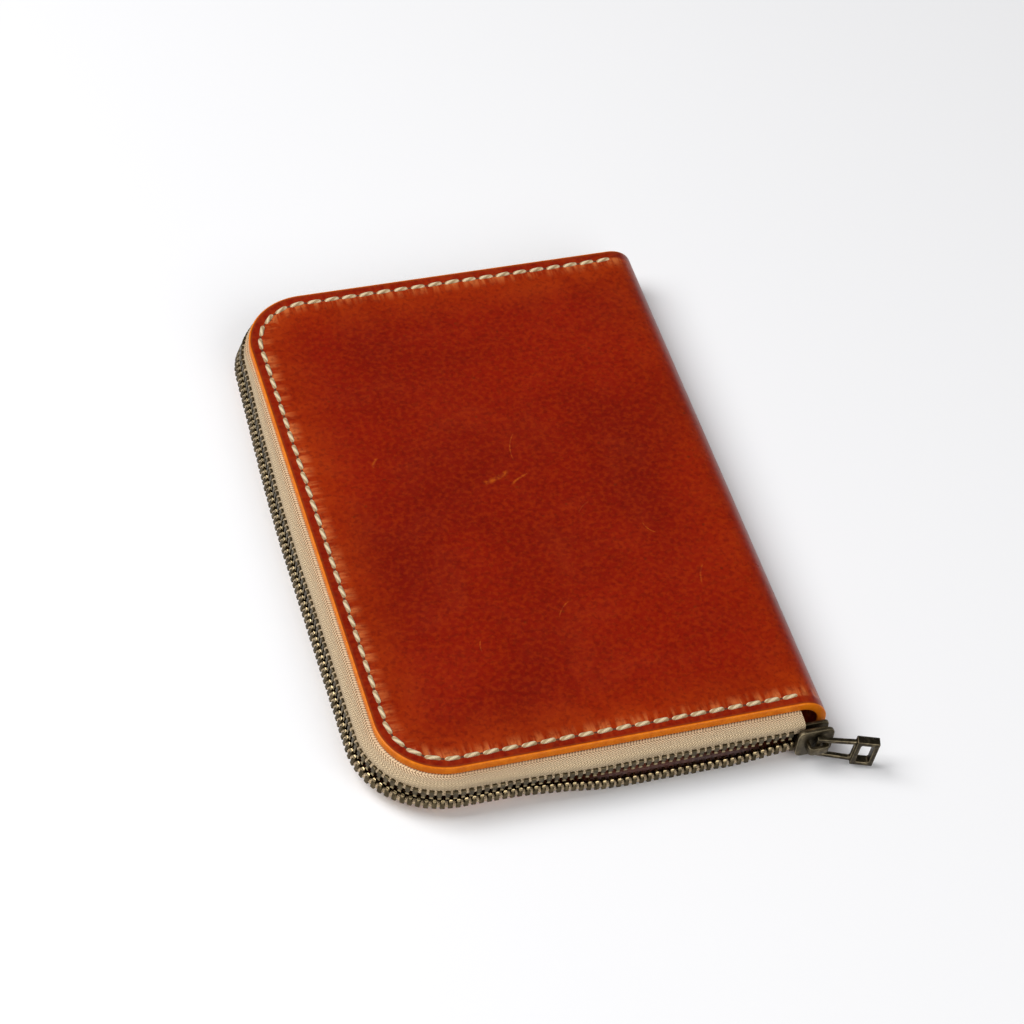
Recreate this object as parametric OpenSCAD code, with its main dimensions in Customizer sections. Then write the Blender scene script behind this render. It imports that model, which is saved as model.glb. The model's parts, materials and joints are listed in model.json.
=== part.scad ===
// Zip around wallet, passport size, lying closed on its back cover with the zip run open.
// Frame: millimetres, +Z up, origin at the centre of the back cover's outer face,
// spine towards +X, opening edge towards -X, parked slider at the -Y end.

/* [Covers] */
// Width of the closed wallet, from the opening edge to the spine
body_w = 93.4; // [88:0.2:100]
// Length of the wallet along its spine
body_l = 133.6; // [125:0.2:150]
// Thickness of the closed wallet, outer face to outer face
body_h = 12.5; // [12.5:0.1:13.5]
// Thickness of the cover leather
leather_t = 2.0; // [1.8:0.1:2.0]
// Radius of the two rounded corners at the opening edge
corner_r = 14.4; // [12:0.2:18]
// Angle either side of each fold line that the stiff leather leaves free
fold_gap = 4; // [3:0.5:6]

/* [Inside] */
// Thickness of the two inner panels
panel_t = 0.7; // [0.5:0.1:0.8]
// Distance of the inner panels from the edge of the covers
panel_in = 1.2; // [0.8:0.1:3]
// Thickness of one card pocket leaf
leaf_t = 0.35; // [0.3:0.05:0.4]
// Thickness of the passport pocket leaf
pocket_t = 0.45; // [0.4:0.05:0.6]
// Place of the uppermost card pocket's mouth along X
card_mouth_x = 20; // [16:1:24]
// Step from one card pocket mouth to the next
leaf_step = 14; // [10:1:18]
// Place of the passport pocket's mouth along X
pocket_mouth_x = 18; // [10:1:30]

/* [Seams] */
// Distance of the stitch line from the edge of the covers
seam_in = 2.6; // [2.2:0.1:3.5]
// Spacing of the hand stitches
stitch_pitch = 4.0; // [3.5:0.1:4.5]
// Visible length of one stitch
stitch_l = 3.2; // [2.8:0.1:3.4]
// Diameter of the waxed thread
thread_d = 1.1; // [0.8:0.1:1.2]

/* [Zip tape and teeth] */
// Thickness of the woven tape
tape_t = 0.6; // [0.5:0.1:0.6]
// Width of the tape that is sewn in under the cover
tape_sewn_w = 6; // [4:0.5:8]
// Distance from the cover's edge to the middle of the teeth
zip_out = 3.2; // [3.0:0.1:3.6]
// How much further out the teeth stand along the opening edge
side_bulge = 0.4; // [0:0.1:1]
// How much further in they stand as they reach the first corner
corner_tuck = 0.6; // [0:0.1:1]
// How much further in they stand on the far side than on the opening edge
far_tuck = 2.6; // [1:0.1:2.8]
// Angle at which the zip leans out towards the back cover along the opening edge
side_lean = 15; // [0:1:18]
// Spacing of the teeth in one row
tooth_pitch = 1.62; // [1.5:0.01:1.8]
// Length of a tooth from its clamp to its head
tooth_l = 2.5; // [2.2:0.1:2.5]
// Thickness of a tooth across the tape
tooth_t = 1.6; // [1.4:0.1:1.7]
// Height of the zip's middle along the slider's run
near_zip_z = 5.7; // [5.6:0.1:5.8]
// Gap between the two rows at the slider
near_gap = 1.2; // [1.2:0.1:1.4]
// How far the lower row sags away between the slider and the first corner
lower_sag = 1.5; // [0:0.1:1.5]
// Height of the zip's middle past the parted stretch
side_zip_z = 6.3; // [6:0.1:6.5]
// Gap between the two rows past the parted stretch
side_gap = 0.3; // [0.3:0.1:0.8]

/* [Slider] */
// Length of the slider along the zip
slider_l = 8; // [7:0.1:9]
// Height of the slider's outer plate
slider_h = 7.6; // [7.2:0.1:7.8]
// Thickness of the slider's plates
plate_t = 0.8; // [0.6:0.1:1]
// Free depth between the slider's plates
cavity_d = 2.2; // [2.0:0.1:2.6]
// Place of the parked slider's mouth along X
mouth_x = 38.5; // [38.5:0.1:39.5]

/* [Puller] */
// Length of the puller from its pivot to its tip
puller_l = 12.4; // [11:0.1:16]
// Length of the thick tip
tip_l = 4.6; // [4:0.1:6]
// Height of the thick tip
tip_h = 7.4; // [6:0.1:7.6]
// Angle of the resting puller away from the zip, seen from above
puller_turn = 16; // [12:1:40]
// Angle at which the resting puller droops
puller_droop = 5; // [0:1:6]

/* [Hidden] */
$fn = 96;

// Colours
leather_col = [0.62, 0.20, 0.04];
inner_col = [0.42, 0.11, 0.05];
tape_col = [0.80, 0.68, 0.50];
thread_col = [0.90, 0.83, 0.68];
brass_col = [0.48, 0.41, 0.27];
bronze_col = [0.30, 0.26, 0.19];

// Spine: a half round of leather about this line
spine_r = body_h / 2;
spine_x = body_w / 2 - spine_r;
fold_angle = 45;

// Heights of the layers, from the back cover up and from the front cover down
back_tape_z = leather_t;
back_panel_z = back_tape_z + tape_t;
pocket_z = back_panel_z + panel_t;
front_panel_z = body_h - leather_t - tape_t - panel_t;
panel_end_x = spine_x - 0.5;
card_leaves = 3;
card_seam_in = 6;
card_thread_d = 0.5;
card_thread_z = front_panel_z - card_leaves * leaf_t + 0.1;

// Heights of the thread's middle, bedded in the leather's face
back_thread_z = thread_d / 2 + 0.05;
front_thread_z = body_h - 0.2;

// Edge outline of the covers, starting at the spine on the -Y side
run_start_x = spine_x;
near_run = run_start_x - (corner_r - body_w / 2);
side_run = body_l - 2 * corner_r;
upper_tape_x = mouth_x - 0.9;
upper_first_x = mouth_x - 1.1;
lower_first_x = mouth_x + 5.2;
lower_tail_l = lower_first_x + 2.5 - run_start_x;
tail_start = 0.5;
tail_sewn_w = 0.1;

// Ends of the rows: the teeth stop short of the crimped stops
row_end_gap = 4;
top_stop_l = 2.6;
top_stop_back = 1.7;
bottom_stop_l = 1.4;
bottom_stop_ahead = 1.6;
stop_short = 0.1;

// Slider layout, as distances out from the cover's edge
cavity_in = zip_out - cavity_d / 2;
cavity_out = zip_out + cavity_d / 2;
plate_face = cavity_out + plate_t;
outer_clip = 0.7;
inner_clip = 0.5;
flange_t = 0.45;
flange_reach = 0.25;
inner_plate_h = 4.6;
post_from = 0.2;
post_h = 0.8;
post_l = 3.2;
post_nose_h = 0.5;
pivot_out = plate_face + 0.9;
pivot_x = mouth_x + 4.2;
bail_gap = 1.7;
bail_t = 0.7;
bail_h = 2.0;
bail_l = 4.6;
bail_foot = 0.8;
weld = 0.1;

// Puller: a flat frame with a long window, a thick tip with a second one and a round bar
arm_l = puller_l - tip_l;
arm_root_h = 5.2;
arm_end_h = 6.4;
arm_w = 0.9;
tip_t = 2.0;
tip_wall = 1.1;
puller_bar_d = 1.0;
cut_past = 1;

// Stretches of the run, as distances from the spine: the lower row sags from the first to the
// last of these, and the rows come together between the two of closing
sag_start = [3, 15];
sag_end = [38, 52];
closing = [44, 64];

// A point of the edge outline moved out by off:
// [x, y, outward x, outward y, distance along the near run, progress of corner 1, progress of the far tuck]
function arc_len(off) = PI / 2 * (corner_r + off);
function run_len(off) = 2 * near_run + side_run + 2 * arc_len(off);
function turn_point(cy, angle, off, turn, far) = [
    corner_r - body_w / 2 + (corner_r + off) * cos(angle),
    cy + (corner_r + off) * sin(angle),
    cos(angle),
    sin(angle),
    near_run,
    turn,
    far
];
function smooth(t) = let (c = min(max(t, 0), 1)) c * c * (3 - 2 * c);
function ease(u, span) = smooth((u - span[0]) / (span[1] - span[0]));
function tuck_progress(past_middle) = smooth(past_middle / (side_run / 2 + arc_len(0)));
function edge_point(u, off) =
    let (
        corner = arc_len(off),
        u1 = u - near_run,
        u2 = u1 - corner,
        u3 = u2 - side_run,
        u4 = u3 - corner,
        corner_share = arc_len(0) / corner,
        cy = body_l / 2 - corner_r
    )
    u1 <= 0 ? [run_start_x - u, -body_l / 2 - off, 0, -1, u, 0, 0] :
    u2 <= 0 ? turn_point(-cy, -90 - 90 * u1 / corner, off, smooth(u1 / corner), 0) :
    u3 <= 0 ? [-body_w / 2 - off, u2 - cy, -1, 0, near_run, 1, tuck_progress(u2 - side_run / 2)] :
    u4 <= 0 ? turn_point(cy, 180 - 90 * u3 / corner, off, 1, tuck_progress(side_run / 2 + u3 * corner_share)) :
    [corner_r - body_w / 2 + u4, body_l / 2 + off, 0, 1, near_run, 1, 1];

// Layout of the zip at a point p of the run: where its middle is, how it leans, and how far from
// the middle the teeth's heads are, up = 1 for the row that hangs from the front cover
function mix(a, b, w) = a + (b - a) * w;
function closed(p) = ease(p[4], closing);
function lean(p) = side_lean * p[5];
function zip_mid(p) = [
    zip_out - corner_tuck * (closed(p) - p[5]) + side_bulge * p[5] - far_tuck * p[6],
    mix(near_zip_z, side_zip_z, closed(p))
];
function sag(p) = lower_sag * (ease(p[4], sag_start) - ease(p[4], sag_end));
function head_gap(p, up) = mix(near_gap, side_gap, closed(p)) / 2 + (up > 0 ? 0 : sag(p));

// A point of the leaning zip plane, d above its middle: [distance out, height]
function on_zip(p, d) = zip_mid(p) + d * [-sin(lean(p)), cos(lean(p))];

// Middle line of each tape's cross section: [distance out, height]
function upper_line(p) =
    let (
        z = body_h - leather_t - tape_t / 2,
        top = head_gap(p, 1) + tooth_l,
        foot = on_zip(p, top + 0.1)
    )
    [
        [-tape_sewn_w, z],
        [0.2 * foot.x, z],
        [0.62 * foot.x, z - 0.15],
        [0.92 * foot.x, mix(z, foot.y, 0.45)],
        foot,
        on_zip(p, top - 1.2)
    ];
function lower_line(p, sewn_w) =
    let (
        z = leather_t + tape_t / 2,
        low = -head_gap(p, -1) - tooth_l,
        foot = on_zip(p, low + 0.15)
    )
    [
        [-sewn_w, z],
        [0.12 * foot.x, z],
        [0.46 * foot.x, mix(z, foot.y - 0.4, 0.5)],
        [0.82 * foot.x, foot.y - 0.4],
        foot,
        on_zip(p, low + 1.2)
    ];

// The corded edge of each tape runs from this point of its middle line to the end
cord_from = 3;
cord_to = 5;

// A ribbon of thickness t about points i0 to i1 of an open middle line
function unit(v) = v / norm(v);
function line_dir(c, i) = unit(c[min(i + 1, len(c) - 1)] - c[max(i - 1, 0)]);
function line_side(c, i) = [-line_dir(c, i).y, line_dir(c, i).x];
function ribbon(c, t, i0, i1) = concat(
    [for (i = [i0 : i1]) c[i] + line_side(c, i) * t / 2],
    [for (i = [i1 : -1 : i0]) c[i] - line_side(c, i) * t / 2]
);

// Stations along the run: close together wherever the zip curves or moves in or out
corner_steps = 10;
near_steps = 14;
side_steps = 7;
function stations(first) = concat(
    [first],
    [for (i = [0 : near_steps]) mix(sag_start[0], closing[1], i / near_steps)],
    [for (i = [0 : corner_steps]) near_run + arc_len(0) * i / corner_steps],
    [for (i = [0 : side_steps - 1]) near_run + arc_len(0) + side_run * (0.5 + 0.5 * i / side_steps)],
    [for (i = [0 : corner_steps]) near_run + arc_len(0) + side_run + arc_len(0) * i / corner_steps],
    [run_len(0)]
);
function place(p, q) = [p.x + p[2] * q.x, p.y + p[3] * q.x, q.y];

// A closed solid through a list of rings that all have the same number of points
module skin(rings) {
    n = len(rings[0]);
    m = len(rings);
    points = [for (ring = rings) each ring];
    sides = [
        for (i = [0 : m - 2], j = [0 : n - 1])
            [i * n + j, i * n + (j + 1) % n, (i + 1) * n + (j + 1) % n, (i + 1) * n + j]
    ];
    // The closing side is split along its other diagonal, so two strips laid edge to edge share a face
    triangles = [
        for (k = [0 : len(sides) - 1])
            let (q = sides[k])
            each (k + 1) % n > 0 ?
                [[q[0], q[2], q[1]], [q[0], q[3], q[2]]] :
                [[q[0], q[3], q[1]], [q[3], q[2], q[1]]]
    ];
    first_cap = [for (j = [1 : n / 2 - 1]) each [[j - 1, j, n - j], [j, n - 1 - j, n - j]]];
    last = (m - 1) * n;
    last_cap = [for (t = first_cap) [last + t[0], last + t[2], last + t[1]]];
    polyhedron(points, concat(triangles, first_cap, last_cap));
}

// Covers -----------------------------------------------------------------

// Outline of a cover, inset all round and squared off at x_end
module cover_outline(inset, x_end) {
    r = corner_r - inset;
    left = inset - body_w / 2;
    half_l = body_l / 2 - inset;
    translate([left + r, -half_l])
        square([x_end - left - r, 2 * half_l]);
    translate([left, r - half_l])
        square([2 * r, 2 * (half_l - r)]);
    for (side = [-1, 1])
        translate([left + r, side * (half_l - r)])
            circle(r);
}

module sheet_at(z, t, inset, x_end) {
    translate([0, 0, z])
        linear_extrude(t)
            cover_outline(inset, x_end);
}

// Part of the half round spine between two angles, 0 pointing at +X
module spine_arc(a0, a1) {
    reach = 2 * spine_r;
    mid = (a0 + a1) / 2;
    translate([spine_x, 0, spine_r])
        rotate([90, 0, 0])
            linear_extrude(body_l, center = true)
                intersection() {
                    difference() {
                        circle(spine_r);
                        circle(spine_r - leather_t);
                    }
                    polygon([
                        [0, 0],
                        reach * [cos(a0), sin(a0)],
                        reach * [cos(mid), sin(mid)],
                        reach * [cos(a1), sin(a1)]
                    ]);
                }
}

module back_cover() {
    color(leather_col) {
        sheet_at(0, leather_t, 0, spine_x);
        spine_arc(-90, -fold_angle - fold_gap);
    }
}

module spine() {
    color(leather_col)
        spine_arc(fold_gap - fold_angle, fold_angle - fold_gap);
}

module front_cover() {
    color(leather_col) {
        sheet_at(body_h - leather_t, leather_t, 0, spine_x);
        spine_arc(fold_angle + fold_gap, 90);
    }
}

// Inside -----------------------------------------------------------------

module back_panel() {
    color(inner_col)
        sheet_at(back_panel_z, panel_t, panel_in, panel_end_x);
}

module front_panel() {
    color(inner_col)
        sheet_at(front_panel_z, panel_t, panel_in, panel_end_x);
}

module passport_pocket() {
    color(inner_col)
        sheet_at(pocket_z, pocket_t, panel_in, pocket_mouth_x);
}

// Card pocket leaves lie one over the next, each mouth a step short of the one before
module card_pocket(number) {
    mouth = card_mouth_x - (number - 1) * leaf_step;
    color(inner_col)
        sheet_at(front_panel_z - number * leaf_t, leaf_t, panel_in, mouth);
}

// A row of stitches along the opening edge of the outermost card pocket leaf
module card_pocket_seam() {
    count = floor(side_run / stitch_pitch);
    color(thread_col)
        for (i = [0 : count - 1])
            translate([card_seam_in - body_w / 2, (i + 0.5 - count / 2) * stitch_pitch, card_thread_z])
                rotate([90, 0, 0])
                    cylinder(d = card_thread_d, h = stitch_l, center = true, $fn = 16);
}

// Seams ------------------------------------------------------------------

// As many stitches as the three sewn edges take, end to end, at height z
module seam(z) {
    off = -seam_in;
    count = floor((run_len(off) + stitch_pitch - stitch_l) / stitch_pitch);
    start = (run_len(off) - (count - 1) * stitch_pitch) / 2;
    color(thread_col)
        for (i = [0 : count - 1]) {
            p = edge_point(start + i * stitch_pitch, off);
            translate([p.x, p.y, z])
                rotate([0, 0, atan2(p[2], -p[3])])
                    rotate([0, 90, 0])
                        cylinder(d = thread_d, h = stitch_l, center = true, $fn = 16);
        }
}

module back_seam() {
    seam(back_thread_z);
}

module front_seam() {
    seam(front_thread_z);
}

// Zip --------------------------------------------------------------------

// Points i0 to i1 of the upper tape's cross section, swept along its run
module upper_strip(i0, i1) {
    color(tape_col)
        skin([
            for (u = stations(run_start_x - upper_tape_x))
                let (p = edge_point(u, 0))
                [for (q = ribbon(upper_line(p), tape_t, i0, i1)) place(p, q)]
        ]);
}

// The same for the lower tape, whose tail carries on past the cover's flat, clear of the curving spine
module lower_strip(i0, i1) {
    color(tape_col)
        skin([
            for (u = concat([-lower_tail_l, -tail_start], stations(0)))
                let (p = edge_point(u, 0), line = lower_line(p, u < 0 ? -tail_sewn_w : tape_sewn_w))
                [for (q = ribbon(line, tape_t, i0, i1)) place(p, q)]
        ]);
}

module upper_tape() {
    upper_strip(0, cord_from);
}

// The tape's thickened edge, which the teeth are clamped on
module upper_cord() {
    upper_strip(cord_from, cord_to);
}

module lower_tape() {
    lower_strip(0, cord_from);
}

module lower_cord() {
    lower_strip(cord_from, cord_to);
}

// One tooth: legs at the top, neck and rounded head below, standing on its head's tip at z = 0
module tooth() {
    leg = [0.5, 1.2];
    neck = [0.3, 0.95];
    head_top = [0.42, 0.6];
    head_low = [0.42, 0.3];
    tip = [0.2, 0];
    half = [[leg.x, tooth_l], leg, neck, head_top, head_low, tip];
    rotate([90, 0, 0])
        linear_extrude(tooth_t, center = true)
            polygon(concat(
                [for (p = half) [-p.x, p.y]],
                [for (i = [len(half) - 1 : -1 : 0]) half[i]]
            ));
}

// Draws with +X along the run, +Y inwards and +Z up the leaning zip plane, d above its middle
module on_row(p, d) {
    mid = zip_mid(p);
    shift = mid.x - zip_out;
    translate([p.x + p[2] * shift, p.y + p[3] * shift, mid.y])
        rotate([0, 0, atan2(p[2], -p[3])])
            rotate([-lean(p), 0, 0])
                translate([0, 0, d])
                    children();
}

// A row of teeth from u = first; up = 1 for the row that hangs from the front cover
module tooth_row(first, up) {
    count = floor((run_len(zip_out) - row_end_gap - first) / tooth_pitch);
    for (i = [0 : count]) {
        p = edge_point(first + i * tooth_pitch, zip_out);
        on_row(p, up * head_gap(p, up))
            mirror([0, 0, up > 0 ? 0 : 1])
                tooth();
    }
}

module upper_teeth() {
    color(brass_col)
        tooth_row(run_start_x - upper_first_x, 1);
}

// The lower row starts further back and stands half a step off the upper one
module lower_teeth() {
    steps = floor((lower_first_x - upper_first_x) / tooth_pitch) + 0.5;
    color(brass_col)
        tooth_row(run_start_x - upper_first_x - steps * tooth_pitch, -1);
}

// A crimped stop of length l on the tape, its middle at u, on the row given by up
module crimp_stop(u, up, l) {
    p = edge_point(u, zip_out);
    on_row(p, up * (head_gap(p, up) + tooth_l / 2 + stop_short))
        cube([l, tooth_t, tooth_l - 2 * stop_short], center = true);
}

module upper_top_stop() {
    color(brass_col)
        crimp_stop(run_len(zip_out) - top_stop_back, 1, top_stop_l);
}

module lower_top_stop() {
    color(brass_col)
        crimp_stop(run_len(zip_out) - top_stop_back, -1, top_stop_l);
}

module lower_bottom_stop() {
    color(brass_col)
        crimp_stop(run_start_x - lower_first_x - bottom_stop_ahead, -1, bottom_stop_l);
}

// Slider and puller --------------------------------------------------------

// Everything below is drawn with +X along the zip from the mouth, +Y out from the
// cover's edge and +Z up from the zip's middle, then set down at the parked place
module on_slider() {
    translate([mouth_x, -body_l / 2, near_zip_z])
        mirror([0, 1, 0])
            children();
}

// A plate with clipped corners between two distances out
module slider_plate(out_0, out_1, l, h, clip) {
    translate([0, out_1, 0])
        rotate([90, 0, 0])
            linear_extrude(out_1 - out_0)
                polygon([
                    [0, -h / 2 + clip], [0, h / 2 - clip], [clip, h / 2], [l - 2 * clip, h / 2],
                    [l, h / 2 - 2 * clip], [l, 2 * clip - h / 2], [l - 2 * clip, -h / 2], [clip, -h / 2]
                ]);
}

module slider_body() {
    color(bronze_col)
        on_slider() {
            slider_plate(cavity_out, plate_face, slider_l, slider_h, outer_clip);
            slider_plate(cavity_in - plate_t, cavity_in, slider_l, inner_plate_h, inner_clip);
            // Rails that keep the rows inside
            for (z = [-slider_h / 2, slider_h / 2 - flange_t])
                translate([outer_clip, cavity_out - flange_reach, z])
                    cube([slider_l - 3 * outer_clip, flange_reach + weld, flange_t]);
            // Post that joins the plates and parts the rows
            translate([post_from, cavity_in - weld, 0])
                rotate([-90, 0, 0])
                    linear_extrude(cavity_d + 2 * weld)
                        polygon([
                            [0, -post_h / 2], [0, post_h / 2],
                            [post_l, post_nose_h / 2], [post_l, -post_nose_h / 2]
                        ]);
        }
}

module slider_bail() {
    from = pivot_x - mouth_x - bail_l / 2;
    color(bronze_col)
        on_slider()
            difference() {
                translate([from, plate_face, -bail_h / 2])
                    cube([bail_l, bail_gap + bail_t, bail_h]);
                translate([from + bail_foot, plate_face - cut_past, -bail_h])
                    cube([bail_l - 2 * bail_foot, bail_gap + cut_past, 2 * bail_h]);
            }
}

// Tapering outline of the puller's arms, narrowed by inset and drawn from x = from
module arm_outline(inset, from) {
    root = arm_root_h / 2 - inset;
    end = arm_end_h / 2 - inset;
    polygon([[from, root], [arm_l, end], [arm_l, -end], [from, -root]]);
}

// The puller's pivot is at the origin and its length runs along +X
module puller() {
    color(bronze_col)
        translate([pivot_x, -body_l / 2 - pivot_out, near_zip_z])
            rotate([0, puller_droop, -puller_turn])
                rotate([90, 0, 0]) {
                    linear_extrude(puller_bar_d, center = true)
                        difference() {
                            arm_outline(0, 0);
                            translate([-weld, 0])
                                arm_outline(arm_w, -cut_past);
                        }
                    linear_extrude(tip_t, center = true)
                        difference() {
                            translate([arm_l - 2 * weld, -tip_h / 2])
                                square([tip_l + 2 * weld, tip_h]);
                            translate([arm_l + arm_w, tip_wall - tip_h / 2])
                                square([tip_l - 2 * arm_w, tip_h - 2 * tip_wall]);
                        }
                    rotate([90, 0, 0])
                        cylinder(d = puller_bar_d, h = arm_root_h, center = true, $fn = 48);
                }
}

back_cover();
back_panel();
passport_pocket();
lower_tape();
lower_cord();
lower_teeth();
lower_top_stop();
lower_bottom_stop();
back_seam();
spine();
front_cover();
front_panel();
card_pocket(1);  // card_pocket_1
card_pocket(2);  // card_pocket_2
card_pocket(3);  // card_pocket_3
card_pocket_seam();
upper_tape();
upper_cord();
upper_teeth();
upper_top_stop();
front_seam();
slider_body();
slider_bail();
puller();
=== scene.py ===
"""Zip around wallet in glossy pull-up leather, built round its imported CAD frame.

The wallet lies closed on its back cover with the zip run open. Lengths are in metres, +Z is up, the spine
is towards +X and the parked slider is at the -Y end.
"""

import json
import logging
import math
import random
from dataclasses import dataclass, field
from enum import Enum
from typing import Callable, ClassVar, Iterable, Sequence

import bmesh
import bpy
from mathutils import Matrix, Vector


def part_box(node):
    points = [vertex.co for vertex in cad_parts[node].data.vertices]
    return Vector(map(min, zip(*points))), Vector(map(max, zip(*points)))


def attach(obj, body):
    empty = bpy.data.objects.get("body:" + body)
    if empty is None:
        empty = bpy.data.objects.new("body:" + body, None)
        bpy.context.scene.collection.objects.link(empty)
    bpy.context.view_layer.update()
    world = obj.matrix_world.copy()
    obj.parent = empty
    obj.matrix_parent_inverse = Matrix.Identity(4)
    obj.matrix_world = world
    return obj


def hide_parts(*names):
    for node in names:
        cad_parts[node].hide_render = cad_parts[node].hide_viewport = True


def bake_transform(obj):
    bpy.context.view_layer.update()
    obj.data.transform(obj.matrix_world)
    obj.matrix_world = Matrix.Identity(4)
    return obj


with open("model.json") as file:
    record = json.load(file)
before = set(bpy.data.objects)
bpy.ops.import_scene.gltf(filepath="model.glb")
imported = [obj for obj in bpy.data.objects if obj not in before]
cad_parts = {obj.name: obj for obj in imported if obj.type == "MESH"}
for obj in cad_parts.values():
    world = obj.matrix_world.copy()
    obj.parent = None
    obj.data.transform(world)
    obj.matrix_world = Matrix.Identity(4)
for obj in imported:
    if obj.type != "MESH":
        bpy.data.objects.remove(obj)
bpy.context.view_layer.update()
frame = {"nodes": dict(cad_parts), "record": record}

MM = 0.001
LOG = logging.getLogger("wallet")
Socket = bpy.types.NodeSocket
Value = float | Socket


class Side(Enum):
    """Which cover a piece belongs to; the value is +1 for the front and -1 for the back."""

    FRONT = 1
    BACK = -1

    @property
    def word(self) -> str:
        """Name used at the start of the covers' pieces."""
        return "front" if self is Side.FRONT else "back"

    @property
    def row(self) -> str:
        """Name used at the start of the zip's pieces."""
        return "upper" if self is Side.FRONT else "lower"


# ---------------------------------------------------------------------------
# Bench: small modelling helpers round bpy.ops
# ---------------------------------------------------------------------------


class Bench:
    """Modelling helpers that wrap the operators used again and again."""

    @staticmethod
    def clear() -> None:
        """Leave edit mode and deselect everything."""
        if bpy.context.object and bpy.context.object.mode != "OBJECT":
            bpy.ops.object.mode_set(mode="OBJECT")
        bpy.ops.object.select_all(action="DESELECT")

    @staticmethod
    def take(obj: bpy.types.Object) -> bpy.types.Object:
        """Make obj the only selected and active object.

        Args:
            obj: the object to work on.

        Returns:
            The same object.
        """
        Bench.clear()
        obj.select_set(True)
        bpy.context.view_layer.objects.active = obj
        return obj

    @staticmethod
    def plane(name: str, low: Vector, high: Vector, z: float) -> bpy.types.Object:
        """Add a rectangle between two corners at height z.

        Args:
            name: the new object's name.
            low: lowest corner; only x and y are read.
            high: highest corner; only x and y are read.
            z: the height.

        Returns:
            The new object, with its scale applied.
        """
        Bench.clear()
        middle = ((low[0] + high[0]) / 2, (low[1] + high[1]) / 2, z)
        bpy.ops.mesh.primitive_plane_add(size=1, location=middle)
        obj = bpy.context.object
        obj.name = name
        obj.scale = (high[0] - low[0], high[1] - low[1], 1)
        Bench.settle(obj)
        return obj

    @staticmethod
    def block(name: str, low: Sequence[float], high: Sequence[float]) -> bpy.types.Object:
        """Add a box between two corners.

        Args:
            name: the new object's name.
            low: lowest corner.
            high: highest corner.

        Returns:
            The new object, with its place in its mesh.
        """
        Bench.clear()
        bpy.ops.mesh.primitive_cube_add(size=1, location=[(a + b) / 2 for a, b in zip(low, high)])
        obj = bpy.context.object
        obj.name = name
        obj.scale = [b - a for a, b in zip(low, high)]
        Bench.settle(obj)
        return obj

    @staticmethod
    def settle(obj: bpy.types.Object) -> None:
        """Move the object's place, turn and scale into its mesh."""
        Bench.take(obj)
        bpy.ops.object.transform_apply(location=True, rotation=True, scale=True)

    @staticmethod
    def select(
        obj: bpy.types.Object,
        verts: Callable[[bmesh.types.BMVert], bool] | None = None,
        edges: Callable[[bmesh.types.BMEdge], bool] | None = None,
        faces: Callable[[bmesh.types.BMFace], bool] | None = None,
    ) -> int:
        """Enter edit mode and select the elements that one test picks.

        Args:
            obj: the object to edit.
            verts: test for vertices, or None.
            edges: test for edges, or None.
            faces: test for faces, or None.

        Returns:
            How many elements were picked.
        """
        Bench.take(obj)
        bpy.ops.object.mode_set(mode="EDIT")
        mode = "VERT" if verts else "EDGE" if edges else "FACE"
        bpy.ops.mesh.select_mode(type=mode)
        bpy.ops.mesh.select_all(action="DESELECT")
        mesh = bmesh.from_edit_mesh(obj.data)
        items = mesh.verts if verts else mesh.edges if edges else mesh.faces
        test = verts or edges or faces
        picked = [item for item in items if test(item)]
        for item in picked:
            item.select_set(True)
        mesh.select_flush_mode()
        bmesh.update_edit_mesh(obj.data)
        return len(picked)

    @staticmethod
    def all_faces(_: bmesh.types.BMFace) -> bool:
        """A test that picks every face."""
        return True

    @staticmethod
    def cut(
        obj: bpy.types.Object, place: Sequence[float], normal: Sequence[float], drop: bool = False
    ) -> None:
        """Cut the whole mesh with a plane.

        Args:
            obj: the object to cut.
            place: a point on the plane.
            normal: the plane's normal.
            drop: whether the part on the normal's side is removed.
        """
        Bench.select(obj, faces=Bench.all_faces)
        bpy.ops.mesh.bisect(plane_co=place, plane_no=normal, clear_outer=drop, threshold=1e-6)
        bpy.ops.object.mode_set(mode="OBJECT")

    @staticmethod
    def modify(obj: bpy.types.Object, kind: str, **settings: object) -> None:
        """Add a modifier, set it and apply it.

        Args:
            obj: the object to change.
            kind: the modifier's type.
            **settings: its properties.
        """
        Bench.take(obj)
        modifier = obj.modifiers.new(kind.lower(), kind)
        for key, value in settings.items():
            setattr(modifier, key, value)
        bpy.ops.object.modifier_apply(modifier=modifier.name)

    @staticmethod
    def smooth(obj: bpy.types.Object, angle: float = 40) -> None:
        """Shade smooth, keeping edges sharper than angle degrees."""
        Bench.take(obj)
        bpy.ops.object.shade_smooth_by_angle(angle=math.radians(angle))

    @staticmethod
    def outward(obj: bpy.types.Object) -> None:
        """Merge doubles and make every face point outwards.

        Args:
            obj: the piece to work on.
        """
        Bench.select(obj, faces=Bench.all_faces)
        bpy.ops.mesh.remove_doubles(threshold=1e-6)
        bpy.ops.mesh.normals_make_consistent(inside=False)
        bpy.ops.object.mode_set(mode="OBJECT")

    @staticmethod
    def mark_wear_and_highlight(obj: bpy.types.Object, also: Callable[[Vector], float] | None = None) -> None:
        """Store how much each point is drawn bright: 1 on corners and edges where it is rubbed, 0 on flats,
        plus any highlight that also paints in.

        Args:
            obj: the finished metal piece.
            also: gives a point's own share, which scales that of the edges; on the teeth it raises the heads,
                which paints a highlight on them.
        """
        mesh = bmesh.new()
        mesh.from_mesh(obj.data)
        mesh.normal_update()
        values = []
        for v in mesh.verts:
            turns = [e.calc_face_angle(0.0) for e in v.link_edges if e.is_manifold]
            share = smoothstep((max(turns, default=0.0) - 0.2) / 0.7)
            values.append(min(1.0, 0.5 * share * (also(v.co) if also else 1.6)))
        mesh.free()
        attribute = obj.data.attributes.new(AgedBrass.wear_and_highlight_name, "FLOAT", "POINT")
        attribute.data.foreach_set("value", values)

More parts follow.
